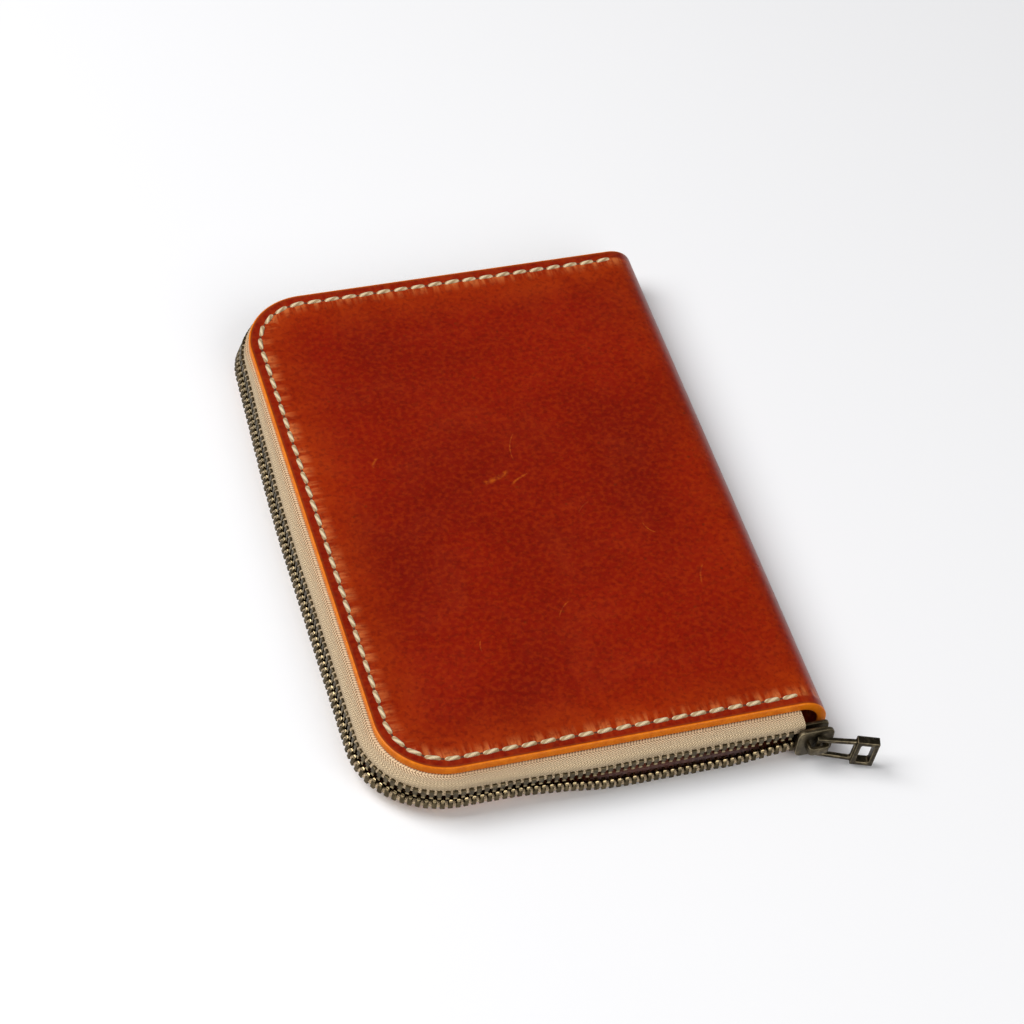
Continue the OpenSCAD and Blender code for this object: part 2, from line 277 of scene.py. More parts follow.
    @staticmethod
    def copy(obj: bpy.types.Object, name: str, matrix: Matrix) -> bpy.types.Object:
        """Copy an object with its own mesh and move the copy's mesh.

        Args:
            obj: the object to copy.
            name: the copy's name.
            matrix: the move.

        Returns:
            The copy.
        """
        twin = obj.copy()
        twin.data = obj.data.copy()
        twin.name = name
        bpy.context.collection.objects.link(twin)
        twin.data.transform(matrix)
        return twin

    @staticmethod
    def join(name: str, parts: Sequence[bpy.types.Object]) -> bpy.types.Object:
        """Join objects into one.

        Args:
            name: the joined object's name.
            parts: the objects to join.

        Returns:
            The joined object.
        """
        Bench.clear()
        for part in parts:
            part.select_set(True)
        bpy.context.view_layer.objects.active = parts[0]
        bpy.ops.object.join()
        parts[0].name = name
        return parts[0]

    @staticmethod
    def repeat(master: bpy.types.Object, name: str, places: Iterable[Matrix]) -> bpy.types.Object:
        """Copy a master to many places, join the copies and drop the master.

        Args:
            master: the shape modelled once.
            name: the joined object's name.
            places: one matrix for each copy.

        Returns:
            The joined object.
        """
        copies = [Bench.copy(master, f"{name}_{i}", place) for i, place in enumerate(places)]
        bpy.data.objects.remove(master)
        return Bench.join(name, copies)


# ---------------------------------------------------------------------------
# Plan: the outline of the covers and the run of the zip
# ---------------------------------------------------------------------------


def mix(a: float, b: float, w: float) -> float:
    """Return the value a part w of the way from a to b."""
    return a + (b - a) * w


def smoothstep(t: float) -> float:
    """Return t eased in and out, held between 0 and 1."""
    t = min(max(t, 0.0), 1.0)
    return t * t * (3 - 2 * t)


@dataclass
class Station:
    """A point of the covers' edge outline."""

    place: Vector
    out: Vector
    near: float
    turn: float
    far: float

    def at(self, off: float, z: float) -> Vector:
        """Return the point off metres further out, at height z."""
        return Vector((self.place.x + self.out.x * off, self.place.y + self.out.y * off, z))

    def frame(self, off: float, z: float) -> Matrix:
        """Return the place with local X along the run and local Y pointing out."""
        angle = math.atan2(-self.out.x, self.out.y)
        return Matrix.Translation(self.at(off, z)) @ Matrix.Rotation(angle, 4, "Z")


@dataclass
class Plan:
    """Sizes of the closed wallet and the outline that its edge, seam and zip follow."""

    left: float = field(init=False)
    right: float = field(init=False)
    half_l: float = field(init=False)
    height: float = field(init=False)
    leather: float = 2.0 * MM
    corner_r: float = 14.4 * MM
    seam_in: float = 2.6 * MM

    def __post_init__(self) -> None:
        """Read the driving sizes from the frame."""
        low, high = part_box("front_cover")
        self.left, self.half_l, self.height = low[0], high[1], high[2]
        self.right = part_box("spine")[1][0]

    @property
    def spine_r(self) -> float:
        """Outer radius of the half round spine."""
        return self.height / 2

    @property
    def spine_x(self) -> float:
        """Where the flat covers end and the spine's curve begins."""
        return self.right - self.spine_r

    def run_length(self, off: float) -> float:
        """Length of the outline moved out by off."""
        straight = 2 * (self.spine_x - self.left - self.corner_r) + 2 * (self.half_l - self.corner_r)
        return straight + math.pi * (self.corner_r + off)

    def station(self, u: float, off: float = 0.0) -> Station:
        """Find a point of the outline.

        Args:
            u: distance along the outline moved out by off, from the spine on the slider's side.
            off: how far out the measured line lies.

        Returns:
            The station on the covers' edge.
        """
        near = self.spine_x - self.left - self.corner_r
        arc = math.pi / 2 * (self.corner_r + off)
        edge_arc = math.pi / 2 * self.corner_r
        side = 2 * (self.half_l - self.corner_r)
        x_c, y_c = self.left + self.corner_r, self.half_l - self.corner_r

        def far(past_middle: float) -> float:
            """Return the progress of the zip's tuck towards the far side."""
            return smoothstep(past_middle / (side / 2 + edge_arc))

        if u <= near:
            return Station(Vector((self.spine_x - u, -self.half_l, 0)), Vector((0, -1, 0)), u, 0.0, 0.0)
        u -= near
        if u <= arc:
            return self._corner(x_c, -y_c, math.radians(-90 - 90 * u / arc), near, smoothstep(u / arc), 0.0)
        u -= arc
        if u <= side:
            return Station(Vector((self.left, u - y_c, 0)), Vector((-1, 0, 0)), near, 1.0, far(u - side / 2))
        u -= side
        if u <= arc:
            angle = math.radians(180 - 90 * u / arc)
            return self._corner(x_c, y_c, angle, near, 1.0, far(side / 2 + edge_arc * u / arc))
        return Station(Vector((x_c + u - arc, self.half_l, 0)), Vector((0, 1, 0)), near, 1.0, 1.0)

    def _corner(self, x: float, y: float, angle: float, near: float, turn: float, far: float) -> Station:
        """Return the station at an angle round a corner's centre."""
        out = Vector((math.cos(angle), math.sin(angle), 0))
        return Station(Vector((x, y, 0)) + out * self.corner_r, out, near, turn, far)


@dataclass
class ZipLine:
    """Heights and distances of the two rows along the run, as the frame has them."""

    plan: Plan
    out: float = 3.2 * MM
    bulge: float = 0.4 * MM
    corner_tuck: float = 0.6 * MM
    far_tuck: float = 2.6 * MM
    side_lean: float = 15.0
    pitch: float = 1.62 * MM
    tooth_l: float = 2.5 * MM
    near_z: float = 5.7 * MM
    near_gap: float = 1.2 * MM
    lower_sag: float = 1.5 * MM
    side_z: float = 6.3 * MM
    side_gap: float = 0.3 * MM
    sag_start: tuple[float, float] = (3 * MM, 15 * MM)
    sag_end: tuple[float, float] = (38 * MM, 52 * MM)
    closing: tuple[float, float] = (44 * MM, 64 * MM)
    tape_t: float = 0.6 * MM
    sewn_w: float = 6.0 * MM

    @staticmethod
    def ease(station: Station, span: tuple[float, float]) -> float:
        """Return the eased progress over a stretch of the slider's run."""
        return smoothstep((station.near - span[0]) / (span[1] - span[0]))

    def lean(self, station: Station) -> float:
        """Return the angle at which the zip's plane leans out towards the back cover."""
        return math.radians(self.side_lean) * station.turn

    def middle(self, station: Station) -> Vector:
        """Return the zip's middle as (distance out, height).

        Args:
            station: where along the run.

        Returns:
            The point, x out and y up.
        """
        closed = self.ease(station, self.closing)
        out = self.out - self.corner_tuck * (closed - station.turn)
        out += self.bulge * station.turn - self.far_tuck * station.far
        return Vector((out, mix(self.near_z, self.side_z, closed)))

    def head(self, side: Side, station: Station) -> float:
        """Return how far from the middle one row's heads are.

        Args:
            side: which row.
            station: where along the run.

        Returns:
            The distance in metres.
        """
        gap = mix(self.near_gap, self.side_gap, self.ease(station, self.closing)) / 2
        if side is Side.BACK:
            gap += self.lower_sag * (self.ease(station, self.sag_start) - self.ease(station, self.sag_end))
        return gap

    def on_zip(self, station: Station, d: float) -> Vector:
        """Return the point of the zip's plane d above its middle, as (distance out, height)."""
        lean = self.lean(station)
        return self.middle(station) + Vector((-math.sin(lean), math.cos(lean))) * d

    def section(self, side: Side, station: Station) -> list[Vector]:
        """Middle line of a tape's cross section, from under the cover to the teeth.

        Args:
            side: which tape.
            station: where along the run.

        Returns:
            Points whose x is the distance out and y the height.
        """
        end = side.value * (self.head(side, station) + self.tooth_l)
        if side is Side.FRONT:
            z = self.plan.height - self.plan.leather - self.tape_t / 2
            foot = self.on_zip(station, end + 0.1 * MM)
            rows = [
                (-self.sewn_w, z), (0.2 * foot.x, z), (0.62 * foot.x, z - 0.15 * MM),
                (0.92 * foot.x, mix(z, foot.y, 0.45)), foot, self.on_zip(station, end - 1.2 * MM),
            ]
        else:
            z = self.plan.leather + self.tape_t / 2
            foot = self.on_zip(station, end + 0.15 * MM)
            rows = [
                (-self.sewn_w, z), (0.12 * foot.x, z), (0.46 * foot.x, mix(z, foot.y - 0.4 * MM, 0.5)),
                (0.82 * foot.x, foot.y - 0.4 * MM), foot, self.on_zip(station, end + 1.2 * MM),
            ]
        return [Vector(row) for row in rows]

    def row_place(self, side: Side, station: Station, d: float) -> Matrix:
        """Return a place d from the heads towards the clamps, local Z up the zip's leaning plane.

        Args:
            side: which row.
            station: where along the run.
            d: distance from the heads towards the clamps.

        Returns:
            The matrix of that place.
        """
        middle = self.middle(station)
        height = side.value * (self.head(side, station) + d)
        tip = Matrix.Rotation(self.lean(station), 4, "X")
        return station.frame(middle.x, middle.y) @ tip @ Matrix.Translation((0, 0, height))

    @staticmethod
    def along(points: Sequence[Vector], t: float) -> Vector:
        """Return the point at t, 0 to 1, of a smooth curve through points.

        Args:
            points: the points it passes through.
            t: how far along, 0 to 1.

        Returns:
            The point.
        """
        place = t * (len(points) - 1)
        i = min(int(place), len(points) - 2)
        f = place - i
        a = points[max(i - 1, 0)]
        b, c = points[i], points[i + 1]
        d = points[min(i + 2, len(points) - 1)]
        tension = 0.35
        m0, m1 = (c - a) * tension, (d - b) * tension
        return (
            b * (2 * f**3 - 3 * f**2 + 1) + m0 * (f**3 - 2 * f**2 + f)
            + c * (3 * f**2 - 2 * f**3) + m1 * (f**3 - f**2)
        )


# ---------------------------------------------------------------------------
# Finishes
# ---------------------------------------------------------------------------


class Recipe:
    """A material under construction, with short calls for the nodes that it needs."""

    def __init__(self, name: str) -> None:
        """Start a material with a surface shader and nothing else.

        Args:
            name: the material's name.
        """
        self.material = bpy.data.materials.new(name)
        self.material.use_nodes = True
        self.tree = self.material.node_tree
        self.tree.nodes.clear()
        self.shader = self.tree.nodes.new("ShaderNodeBsdfPrincipled")
        output = self.tree.nodes.new("ShaderNodeOutputMaterial")
        self.tree.links.new(self.shader.outputs[0], output.inputs["Surface"])

    def put(self, target: Socket, value: object) -> None:
        """Set a socket, or link it when value is a socket.

        Args:
            target: the input socket.
            value: the number, colour or socket to use.
        """
        if isinstance(value, bpy.types.NodeSocket):
            self.tree.links.new(value, target)
        else:
            target.default_value = value

    def set(self, **values: object) -> None:
        """Set the shader's sockets by name, with _ for a space."""
        for name, value in values.items():
            self.put(self.shader.inputs[name.replace("_", " ")], value)

    def place(self, attribute: str | None) -> Socket:
        """Return the coordinates: a named attribute's, or Object coordinates.

        Args:
            attribute: the attribute's name, or None.

        Returns:
            The socket that gives the coordinates.
        """
        if attribute:
            node = self.tree.nodes.new("ShaderNodeAttribute")
            node.attribute_name = attribute
            return node.outputs["Vector"]
        return self.tree.nodes.new("ShaderNodeTexCoord").outputs["Object"]

    def uv(self) -> Socket:
        """Return the piece's own UV coordinates."""
        return self.tree.nodes.new("ShaderNodeTexCoord").outputs["UV"]

    def parts(self, vector: Socket) -> tuple[Socket, Socket, Socket]:
        """Split a vector into x, y and z.

        Args:
            vector: the vector to split.

        Returns:
            Three sockets.
        """
        node = self.tree.nodes.new("ShaderNodeSeparateXYZ")
        self.put(node.inputs[0], vector)
        return tuple(node.outputs)

    def vector(self, x: Value, y: Value, z: Value = 0.0) -> Socket:
        """Join three numbers into a vector.

        Args:
            x: first part.
            y: second part.
            z: third part.

        Returns:
            The vector socket.
        """
        node = self.tree.nodes.new("ShaderNodeCombineXYZ")
        for target, value in zip(node.inputs, (x, y, z)):
            self.put(target, value)
        return node.outputs[0]

    def math(self, operation: str, a: Value, b: Value = 0.0, c: Value = 0.0) -> Socket:
        """Work out one operation on up to three numbers.

        Args:
            operation: the operation's name.
            a: first value.
            b: second value.
            c: third value.

        Returns:
            The result.
        """
        node = self.tree.nodes.new("ShaderNodeMath")
        node.operation = operation
        for target, value in zip(node.inputs, (a, b, c)):
            self.put(target, value)
        return node.outputs[0]

    def ramp(
        self, value: Socket, low: float, high: float, to_low: float = 0.0, to_high: float = 1.0
    ) -> Socket:
        """Map value smoothly from low..high to to_low..to_high.

        Args:
            value: the value to map.
            low: value that gives to_low.
            high: value that gives to_high.
            to_low: result at low.
            to_high: result at high.

        Returns:
            The mapped value.
        """
        node = self.tree.nodes.new("ShaderNodeMapRange")
        node.interpolation_type = "SMOOTHSTEP"
        for key, number in (("From Min", low), ("From Max", high), ("To Min", to_low), ("To Max", to_high)):
            node.inputs[key].default_value = number
        self.put(node.inputs["Value"], value)
        return node.outputs["Result"]

    def noise(
        self, place: Socket, scale: float, detail: float = 3.0, rough: float = 0.55, warp: float = 0.0
    ) -> Socket:
        """Return a noise value of about 1/scale metres grain.

        Args:
            place: the coordinates to read.
            scale: repeats in a metre.
            detail: how many finer layers are added.
            rough: strength of the finer layers.
            warp: how much it is distorted.

        Returns:
            The noise value.
        """
        node = self.tree.nodes.new("ShaderNodeTexNoise")
        self.put(node.inputs["Vector"], place)
        for key, number in (("Scale", scale), ("Detail", detail), ("Roughness", rough), ("Distortion", warp)):
            node.inputs[key].default_value = number
        return node.outputs["Fac"]

    def cells(self, place: Socket, scale: float, feature: str = "F1") -> tuple[Socket, Socket]:
        """Return the distance and colour of a cell pattern.

        Args:
            place: the coordinates to read.
            scale: repeats in a metre.
            feature: which distance of the cells is wanted.

        Returns:
            The distance and the colour.
        """
        node = self.tree.nodes.new("ShaderNodeTexVoronoi")
        node.feature = feature
        self.put(node.inputs["Vector"], place)
        node.inputs["Scale"].default_value = scale
        return node.outputs["Distance"], node.outputs.get("Color")

    def blend(self, factor: Value, a: object, b: object, how: str = "MIX") -> Socket:
        """Mix two colours.

        Args:
            factor: share of the second value, 0 to 1.
            a: first value.
            b: second value.
            how: the blend mode.

        Returns:
            The mixed colour.
        """
        node = self.tree.nodes.new("ShaderNodeMix")
        node.data_type = "RGBA"
        node.blend_type = how
        self.put(node.inputs[0], factor)
        self.put(node.inputs[6], a if isinstance(a, bpy.types.NodeSocket) else (*a, 1))
        self.put(node.inputs[7], b if isinstance(b, bpy.types.NodeSocket) else (*b, 1))
        return node.outputs[2]

    def bump(
        self, height: Socket, depth: float, strength: float = 1.0, under: Socket | None = None
    ) -> Socket:
        """Return a bumped normal; depth is the real height of the relief in metres.

        Args:
            height: the relief, 0 to 1.
            depth: the relief's real height in metres.
            strength: how strongly it shows.
            under: a normal to build on, or None.

        Returns:
            The bumped normal.
        """
        node = self.tree.nodes.new("ShaderNodeBump")
        node.inputs["Strength"].default_value = strength
        node.inputs["Distance"].default_value = depth
        self.put(node.inputs["Height"], height)
        if under is not None:
            self.put(node.inputs["Normal"], under)
        return node.outputs[0]


@dataclass(frozen=True)
class Scratch:
    """A fine scratch on the cover: middle, half length, heading, bow and width, in mm and degrees."""

    x: float
    y: float
    half: float
    heading: float
    bow: float = 0.0
    width: float = 0.22


@dataclass(frozen=True)
class CoverLeather:
    """Glossy pull-up leather: deep in the middle, orange where it is bent, rubbed or pierced."""

    plan: Plan
    place_name: str = "rest_place"
    deep: tuple[float, float, float] = (0.165, 0.0042, 0.0)
    body: tuple[float, float, float] = (0.235, 0.0070, 0.0)
    warm: tuple[float, float, float] = (0.40, 0.040, 0.0002)
    burnish: tuple[float, float, float] = (0.74, 0.19, 0.004)
    # Light orange of pulled leather, mixed with a painted pinkish sheen
    pulled_and_sheen: tuple[float, float, float] = (0.66, 0.19, 0.050)
    scratches: tuple[Scratch, ...] = (
        Scratch(1.5, 13.5, 4.2, 75, 0.9),
        Scratch(-3.5, 5.5, 4.0, 22, -0.5, 0.9),
        Scratch(1.0, 4.5, 3.0, 28, 0.4, 0.4),
        Scratch(-28.5, 15.0, 1.6, 60, 0.3, 0.5),
        Scratch(-0.5, -32.0, 2.6, 50, 0.5),
        Scratch(-20.0, -38.0, 1.8, 80, 0.3),
        Scratch(24.0, -15.0, 2.4, 125, 0.7),
        Scratch(31.0, -29.0, 3.0, 70, 0.6, 0.3),
        Scratch(12.0, -6.0, 2.2, 40, 0.4),
    )

    def edge_distance(self, r: Recipe, x: Socket, y: Socket) -> tuple[Socket, Socket]:
        """Work out the distance in from the cut edge.

        Args:
            r: the material under construction.
            x: place across the wallet.
            y: place along the wallet.

        Returns:
            The distance in metres, and 1 where the opening edge is the nearest and 0 elsewhere.
        """
        plan = self.plan
        across = r.math("SUBTRACT", plan.left + plan.corner_r, x)
        along = r.math("SUBTRACT", r.math("ABSOLUTE", y), plan.half_l - plan.corner_r)
        a, b = r.math("MAXIMUM", across, 0.0), r.math("MAXIMUM", along, 0.0)
        outside = r.math("SQRT", r.math("ADD", r.math("MULTIPLY", a, a), r.math("MULTIPLY", b, b)))
        inside = r.math("MINIMUM", r.math("MAXIMUM", across, along), 0.0)
        distance = r.math("SUBTRACT", r.math("SUBTRACT", plan.corner_r, outside), inside)
        return distance, r.math("GREATER_THAN", across, along)

    def scratch_mask(self, r: Recipe, x: Socket, y: Socket) -> Socket:
        """Return 1 on the scratches and 0 elsewhere.

        Args:
            r: the material under construction.
            x: how far across the cover, in metres.
            y: how far along the cover, in metres.

        Returns:
            The mask.
        """
        total: Value = 0.0
        for s in self.scratches:
            c, n = math.cos(math.radians(s.heading)), math.sin(math.radians(s.heading))
            dx, dy = r.math("SUBTRACT", x, s.x * MM), r.math("SUBTRACT", y, s.y * MM)
            half = s.half * MM
            u = r.math("ADD", r.math("MULTIPLY", dx, c / half), r.math("MULTIPLY", dy, n / half))
            v = r.math("SUBTRACT", r.math("MULTIPLY", dy, c), r.math("MULTIPLY", dx, n))
            v = r.math("ADD", v, r.math("MULTIPLY", r.math("MULTIPLY", u, u), s.bow * MM))
            line = r.ramp(r.math("ABSOLUTE", v), 0.0, s.width * MM, 1.0, 0.0)
            ends = r.ramp(r.math("ABSOLUTE", u), 0.55, 1.0, 1.0, 0.0)
            total = r.math("ADD", total, r.math("MULTIPLY", line, ends))
        return r.math("MINIMUM", total, 1.0)

    def build(self) -> bpy.types.Material:
        """Return the material.

        Returns:
            The finished material.
        """
        r = Recipe("cover_leather_finish")
        place = r.place(self.place_name)
        x, y, _ = r.parts(place)
        edge, at_side = self.edge_distance(r, x, y)

        cloud = r.noise(place, 22, 4, 0.6, 0.4)
        patch = r.noise(place, 75, 5, 0.62, 0.8)
        speck = r.noise(place, 900, 2, 0.5)
        colour = r.blend(r.ramp(cloud, 0.30, 0.68), self.deep, self.body)
        colour = r.blend(r.math("MULTIPLY", r.ramp(patch, 0.45, 0.85), 0.16), colour, self.warm)

        # Pulled lighter towards the cut edges and over the bend of the spine
        seam = self.plan.seam_in
        inside_seam = r.ramp(edge, seam - 0.6 * MM, seam + 0.2 * MM)
        rim = r.math("MULTIPLY", r.ramp(edge, seam, 16 * MM, 1.0, 0.0), r.math("ADD", inside_seam, 0.12))
        bend = r.ramp(x, self.plan.spine_x - 12 * MM, self.plan.right, 0.0, 1.0)
        lift = r.math("ADD", rim, r.math("MULTIPLY", bend, 0.5))
        lift = r.math("MULTIPLY", lift, r.ramp(patch, 0.25, 0.75, 0.35, 1.0))
        colour = r.blend(r.math("MULTIPLY", lift, 0.52), colour, self.warm)

        # Puckers that run inwards from the stitch line: lighter where the leather is pulled, with a painted
        # pinkish sheen on them
        side_grain = r.vector(r.math("MULTIPLY", x, 0.12), y)
        end_grain = r.vector(x, r.math("MULTIPLY", y, 0.12))
        lay = self.tree_mix(r, at_side, end_grain, side_grain)
        pucker = r.noise(lay, 700, 2, 0.6)
        halo = r.ramp(edge, seam, seam + 3.4 * MM, 1.0, 0.0)
        halo = r.math("MULTIPLY", halo, r.math("ADD", inside_seam, 0.06))
        streak = r.math("MULTIPLY", halo, r.ramp(pucker, 0.38, 0.66))
        colour = r.blend(r.math("MULTIPLY", streak, 0.62), colour, self.pulled_and_sheen)

        scratch = self.scratch_mask(r, x, y)
        shown = r.math("MULTIPLY", scratch, r.ramp(speck, 0.35, 0.7, 0.05, 0.38))
        colour = r.blend(shown, colour, self.burnish)

        # Pores and small dark flecks
        distance, tint = r.cells(place, 330)
        chosen = r.math("GREATER_THAN", r.parts(tint)[0], 0.80)
        pore = r.math("MULTIPLY", r.ramp(distance, 0.06, 0.16, 1.0, 0.0), chosen)
        colour = r.blend(r.math("MULTIPLY", pore, 0.55), colour, (0.10, 0.012, 0.001))
        colour = r.blend(r.ramp(speck, 0.38, 0.72, 0.0, 0.26), colour, self.warm)
        fleck = r.noise(place, 950, 3, 0.6, 0.3)
        colour = r.blend(r.ramp(fleck, 0.34, 0.52, 0.36, 0.0), colour, (0.10, 0.0022, 0.0))

        # Crease and burnished cut edge
        from_crease = r.math("ABSOLUTE", r.math("SUBTRACT", edge, 0.62 * MM))
        crease = r.ramp(from_crease, 0.05 * MM, 0.22 * MM, 1.0, 0.0)
        colour = r.blend(r.math("MULTIPLY", crease, 0.45), colour, (0.20, 0.050, 0.010))
        cut = r.ramp(edge, 0.22 * MM, 0.50 * MM, 1.0, 0.0)
        raw = r.blend(r.ramp(r.noise(place, 420, 4, 0.7), 0.35, 0.65, 0.0, 0.35), self.burnish, self.warm)
        colour = r.blend(cut, colour, raw)

        grain = r.noise(place, 2600, 3, 0.6)
        folds = r.noise(place, 420, 4, 0.6, 0.5)
        height = r.math("ADD", r.math("MULTIPLY", grain, 0.35), r.math("MULTIPLY", folds, 0.9))
        height = r.math("SUBTRACT", height, r.math("MULTIPLY", r.math("ADD", pore, scratch), 0.5))
        relief = r.bump(height, 0.05 * MM, 0.55)
        relief = r.bump(r.math("MULTIPLY", streak, -1.0), 0.10 * MM, 0.8, relief)
        rough = r.math("ADD", r.ramp(patch, 0.3, 0.8, 0.27, 0.40), r.math("MULTIPLY", scratch, 0.2))
        r.set(
            Base_Color=colour, Roughness=rough, Normal=relief, Specular_IOR_Level=0.16, Coat_Weight=0.03,
            Coat_Roughness=0.20, Coat_IOR=1.4,
        )
        return r.material

    @staticmethod
    def tree_mix(r: Recipe, factor: Socket, a: Socket, b: Socket) -> Socket:
        """Return vector a where factor is 0 and b where it is 1.

        Args:
            r: the material under construction.
            factor: share of the second value, 0 to 1.
            a: the vector at 0.
            b: the vector at 1.

        Returns:
            The chosen vector.
        """
        node = r.tree.nodes.new("ShaderNodeMix")
        node.data_type = "VECTOR"
        r.put(node.inputs[0], factor)
        r.put(node.inputs[4], a)
        r.put(node.inputs[5], b)
        return node.outputs[1]


@dataclass(frozen=True)
class InnerLeather:
    """Thin, darker leather of the panels and pockets."""

    deep: tuple[float, float, float] = (0.085, 0.014, 0.004)
    warm: tuple[float, float, float] = (0.19, 0.036, 0.010)

    def build(self) -> bpy.types.Material:
        """Return the material.

        Returns:
            The finished material.
        """
        r = Recipe("inner_leather_finish")
        place = r.place(None)
        cloud = r.noise(place, 60, 4, 0.6, 0.3)
        grain, _ = r.cells(place, 1300, "DISTANCE_TO_EDGE")
        colour = r.blend(r.ramp(cloud, 0.3, 0.7), self.deep, self.warm)
        colour = r.blend(r.ramp(grain, 0.0, 0.12, 0.35, 0.0), colour, (0.03, 0.005, 0.002))
        height = r.math("ADD", r.ramp(grain, 0.0, 0.15), r.math("MULTIPLY", r.noise(place, 500, 3), 0.8))
        r.set(
            Base_Color=colour, Roughness=r.ramp(cloud, 0.3, 0.7, 0.42, 0.55),
            Normal=r.bump(height, 0.04 * MM, 0.6), Coat_Weight=0.08, Coat_Roughness=0.3,
        )
        return r.material


@dataclass(frozen=True)
class WovenTape:
    """Beige herringbone tape; its pattern follows the piece's UV map, laid out in metres."""

    light: tuple[float, float, float] = (0.80, 0.62, 0.39)
    dark: tuple[float, float, float] = (0.25, 0.155, 0.075)
    thread: float = 0.62 * MM
    column: float = 1.05 * MM

    def build(self) -> bpy.types.Material:
        """Return the material.

        Returns:
            The finished material.
        """
        r = Recipe("woven_tape_finish")
        u, v, _ = r.parts(r.uv())
        zig = r.math("PINGPONG", v, self.column)
        slant = r.math("ADD", u, r.math("MULTIPLY", zig, 0.9))
        turn = 2 * math.pi
        ridge = r.math("SINE", r.math("MULTIPLY", slant, turn / self.thread))
        pick = r.math("SINE", r.math("MULTIPLY", v, turn / (self.thread * 0.75)))
        cord = r.math("ADD", r.math("MULTIPLY", ridge, 0.6), r.math("MULTIPLY", pick, 0.4))
        fuzz = r.noise(r.vector(r.math("MULTIPLY", u, 1.0), v), 3200, 3, 0.65)
        fuzz = r.math("MULTIPLY", r.math("SUBTRACT", fuzz, 0.5), 1.6)
        weave = r.ramp(r.math("ADD", cord, fuzz), -0.75, 0.45)
        colour = r.blend(weave, self.dark, self.light)
        tone = r.noise(r.vector(u, v), 130, 3, 0.5)
        colour = r.blend(r.ramp(tone, 0.3, 0.7, 0.0, 0.22), colour, (0.62, 0.44, 0.26))
        r.set(
            Base_Color=colour, Roughness=0.85, Normal=r.bump(weave, 0.16 * MM, 1.0), Sheen_Weight=0.15,
            Sheen_Roughness=0.5, Specular_IOR_Level=0.25,
        )
        return r.material


@dataclass(frozen=True)
class WaxedThread:
    """Twisted beige thread; the twist follows the UV map of each stitch."""

    light: tuple[float, float, float] = (0.74, 0.59, 0.36)
    dark: tuple[float, float, float] = (0.40, 0.27, 0.13)

    def build(self) -> bpy.types.Material:
        """Return the material.

        Returns:
            The finished material.
        """
        r = Recipe("waxed_thread_finish")
        u, v, _ = r.parts(r.uv())
        turns = r.math("ADD", r.math("MULTIPLY", u, 2.0), r.math("MULTIPLY", v, 2.6))
        twist = r.math("SINE", r.math("MULTIPLY", turns, 2 * math.pi))
        fibre = r.noise(r.vector(r.math("MULTIPLY", u, 30.0), r.math("MULTIPLY", v, 6.0)), 3.0, 3, 0.6)
        height = r.math("ADD", twist, fibre)
        colour = r.blend(r.ramp(height, -0.5, 1.2), self.dark, self.light)
        r.set(
            Base_Color=colour, Roughness=0.55, Normal=r.bump(height, 0.09 * MM, 0.8), Sheen_Weight=0.15,
            Specular_IOR_Level=0.4,
        )
        return r.material


@dataclass(frozen=True)
class AgedBrass:
    """Brass under a dark patina, bright where its attribute says: rubbed on the edges, with a painted
    highlight on the teeth's heads.
    """

    name: str
    bright: tuple[float, float, float]
    patina: tuple[float, float, float]
    rough: float = 0.34
    wear_and_highlight_name: ClassVar[str] = "wear_and_highlight"

    def build(self) -> bpy.types.Material:
        """Return the material.

        Returns:
            The finished material.
        """
        r = Recipe(self.name)
        place = r.place(None)
        cloud = r.noise(place, 700, 4, 0.65, 0.4)
        fine = r.noise(place, 4500, 3, 0.6)
        node = r.tree.nodes.new("ShaderNodeAttribute")
        node.attribute_name = self.wear_and_highlight_name
        # Bright where rubbed, and on the teeth's heads a painted highlight as well
        wear_and_highlight = r.math("MULTIPLY", node.outputs["Fac"], r.ramp(cloud, 0.25, 0.6, 0.45, 1.0))
        shine = r.math("ADD", r.math("MULTIPLY", r.ramp(cloud, 0.46, 0.74), 0.22), wear_and_highlight)
        colour = r.blend(r.math("MINIMUM", shine, 1.0), self.patina, self.bright)
        colour = r.blend(r.ramp(fine, 0.45, 0.8, 0.0, 0.4), colour, self.patina)
        r.set(
            Base_Color=colour, Metallic=1.0, Normal=r.bump(fine, 0.02 * MM, 0.5),
            Roughness=r.ramp(shine, 0.0, 1.0, self.rough + 0.14, self.rough - 0.08),
        )
        return r.material


@dataclass(frozen=True)
class PaintedHoleShade:
    """Painted shade of the awl holes between the stitches: near black, laid on flat lenses in place of real
    openings.
    """

    def build(self) -> bpy.types.Material:
        """Return the material.

        Returns:
            The finished material.
        """
        r = Recipe("stitch_hole_painted_shade")
        # Near black painted shade, as inside a hole
        colour = r.blend(r.noise(r.place(None), 900), (0.040, 0.008, 0.001), (0.11, 0.025, 0.004))
        r.set(Base_Color=colour, Roughness=0.8)
        return r.material


@dataclass(frozen=True)
class PaleFloor:
    """Plain pale studio floor."""

    def build(self) -> bpy.types.Material:
        """Return the material.

        Returns:
            The finished material.
        """
        r = Recipe("floor_finish")
        colour = r.blend(r.noise(r.place(None), 4), (0.86, 0.86, 0.875), (0.88, 0.88, 0.89))
        r.set(Base_Color=colour, Roughness=0.6, Specular_IOR_Level=0.2)
        return r.material


@dataclass
class Finishes:
    """The finished materials, made once each."""

    plan: Plan

    def __post_init__(self) -> None:
        """Build every material."""
        self.cover = CoverLeather(self.plan).build()
        self.inner = InnerLeather().build()
        self.tape = WovenTape().build()
        self.thread = WaxedThread().build()
        self.teeth = AgedBrass("teeth_finish", (0.42, 0.32, 0.17), (0.034, 0.026, 0.016)).build()
        self.slider = AgedBrass("slider_finish", (0.46, 0.37, 0.22), (0.034, 0.027, 0.018), 0.30).build()
        self.hole = PaintedHoleShade().build()
        self.floor = PaleFloor().build()


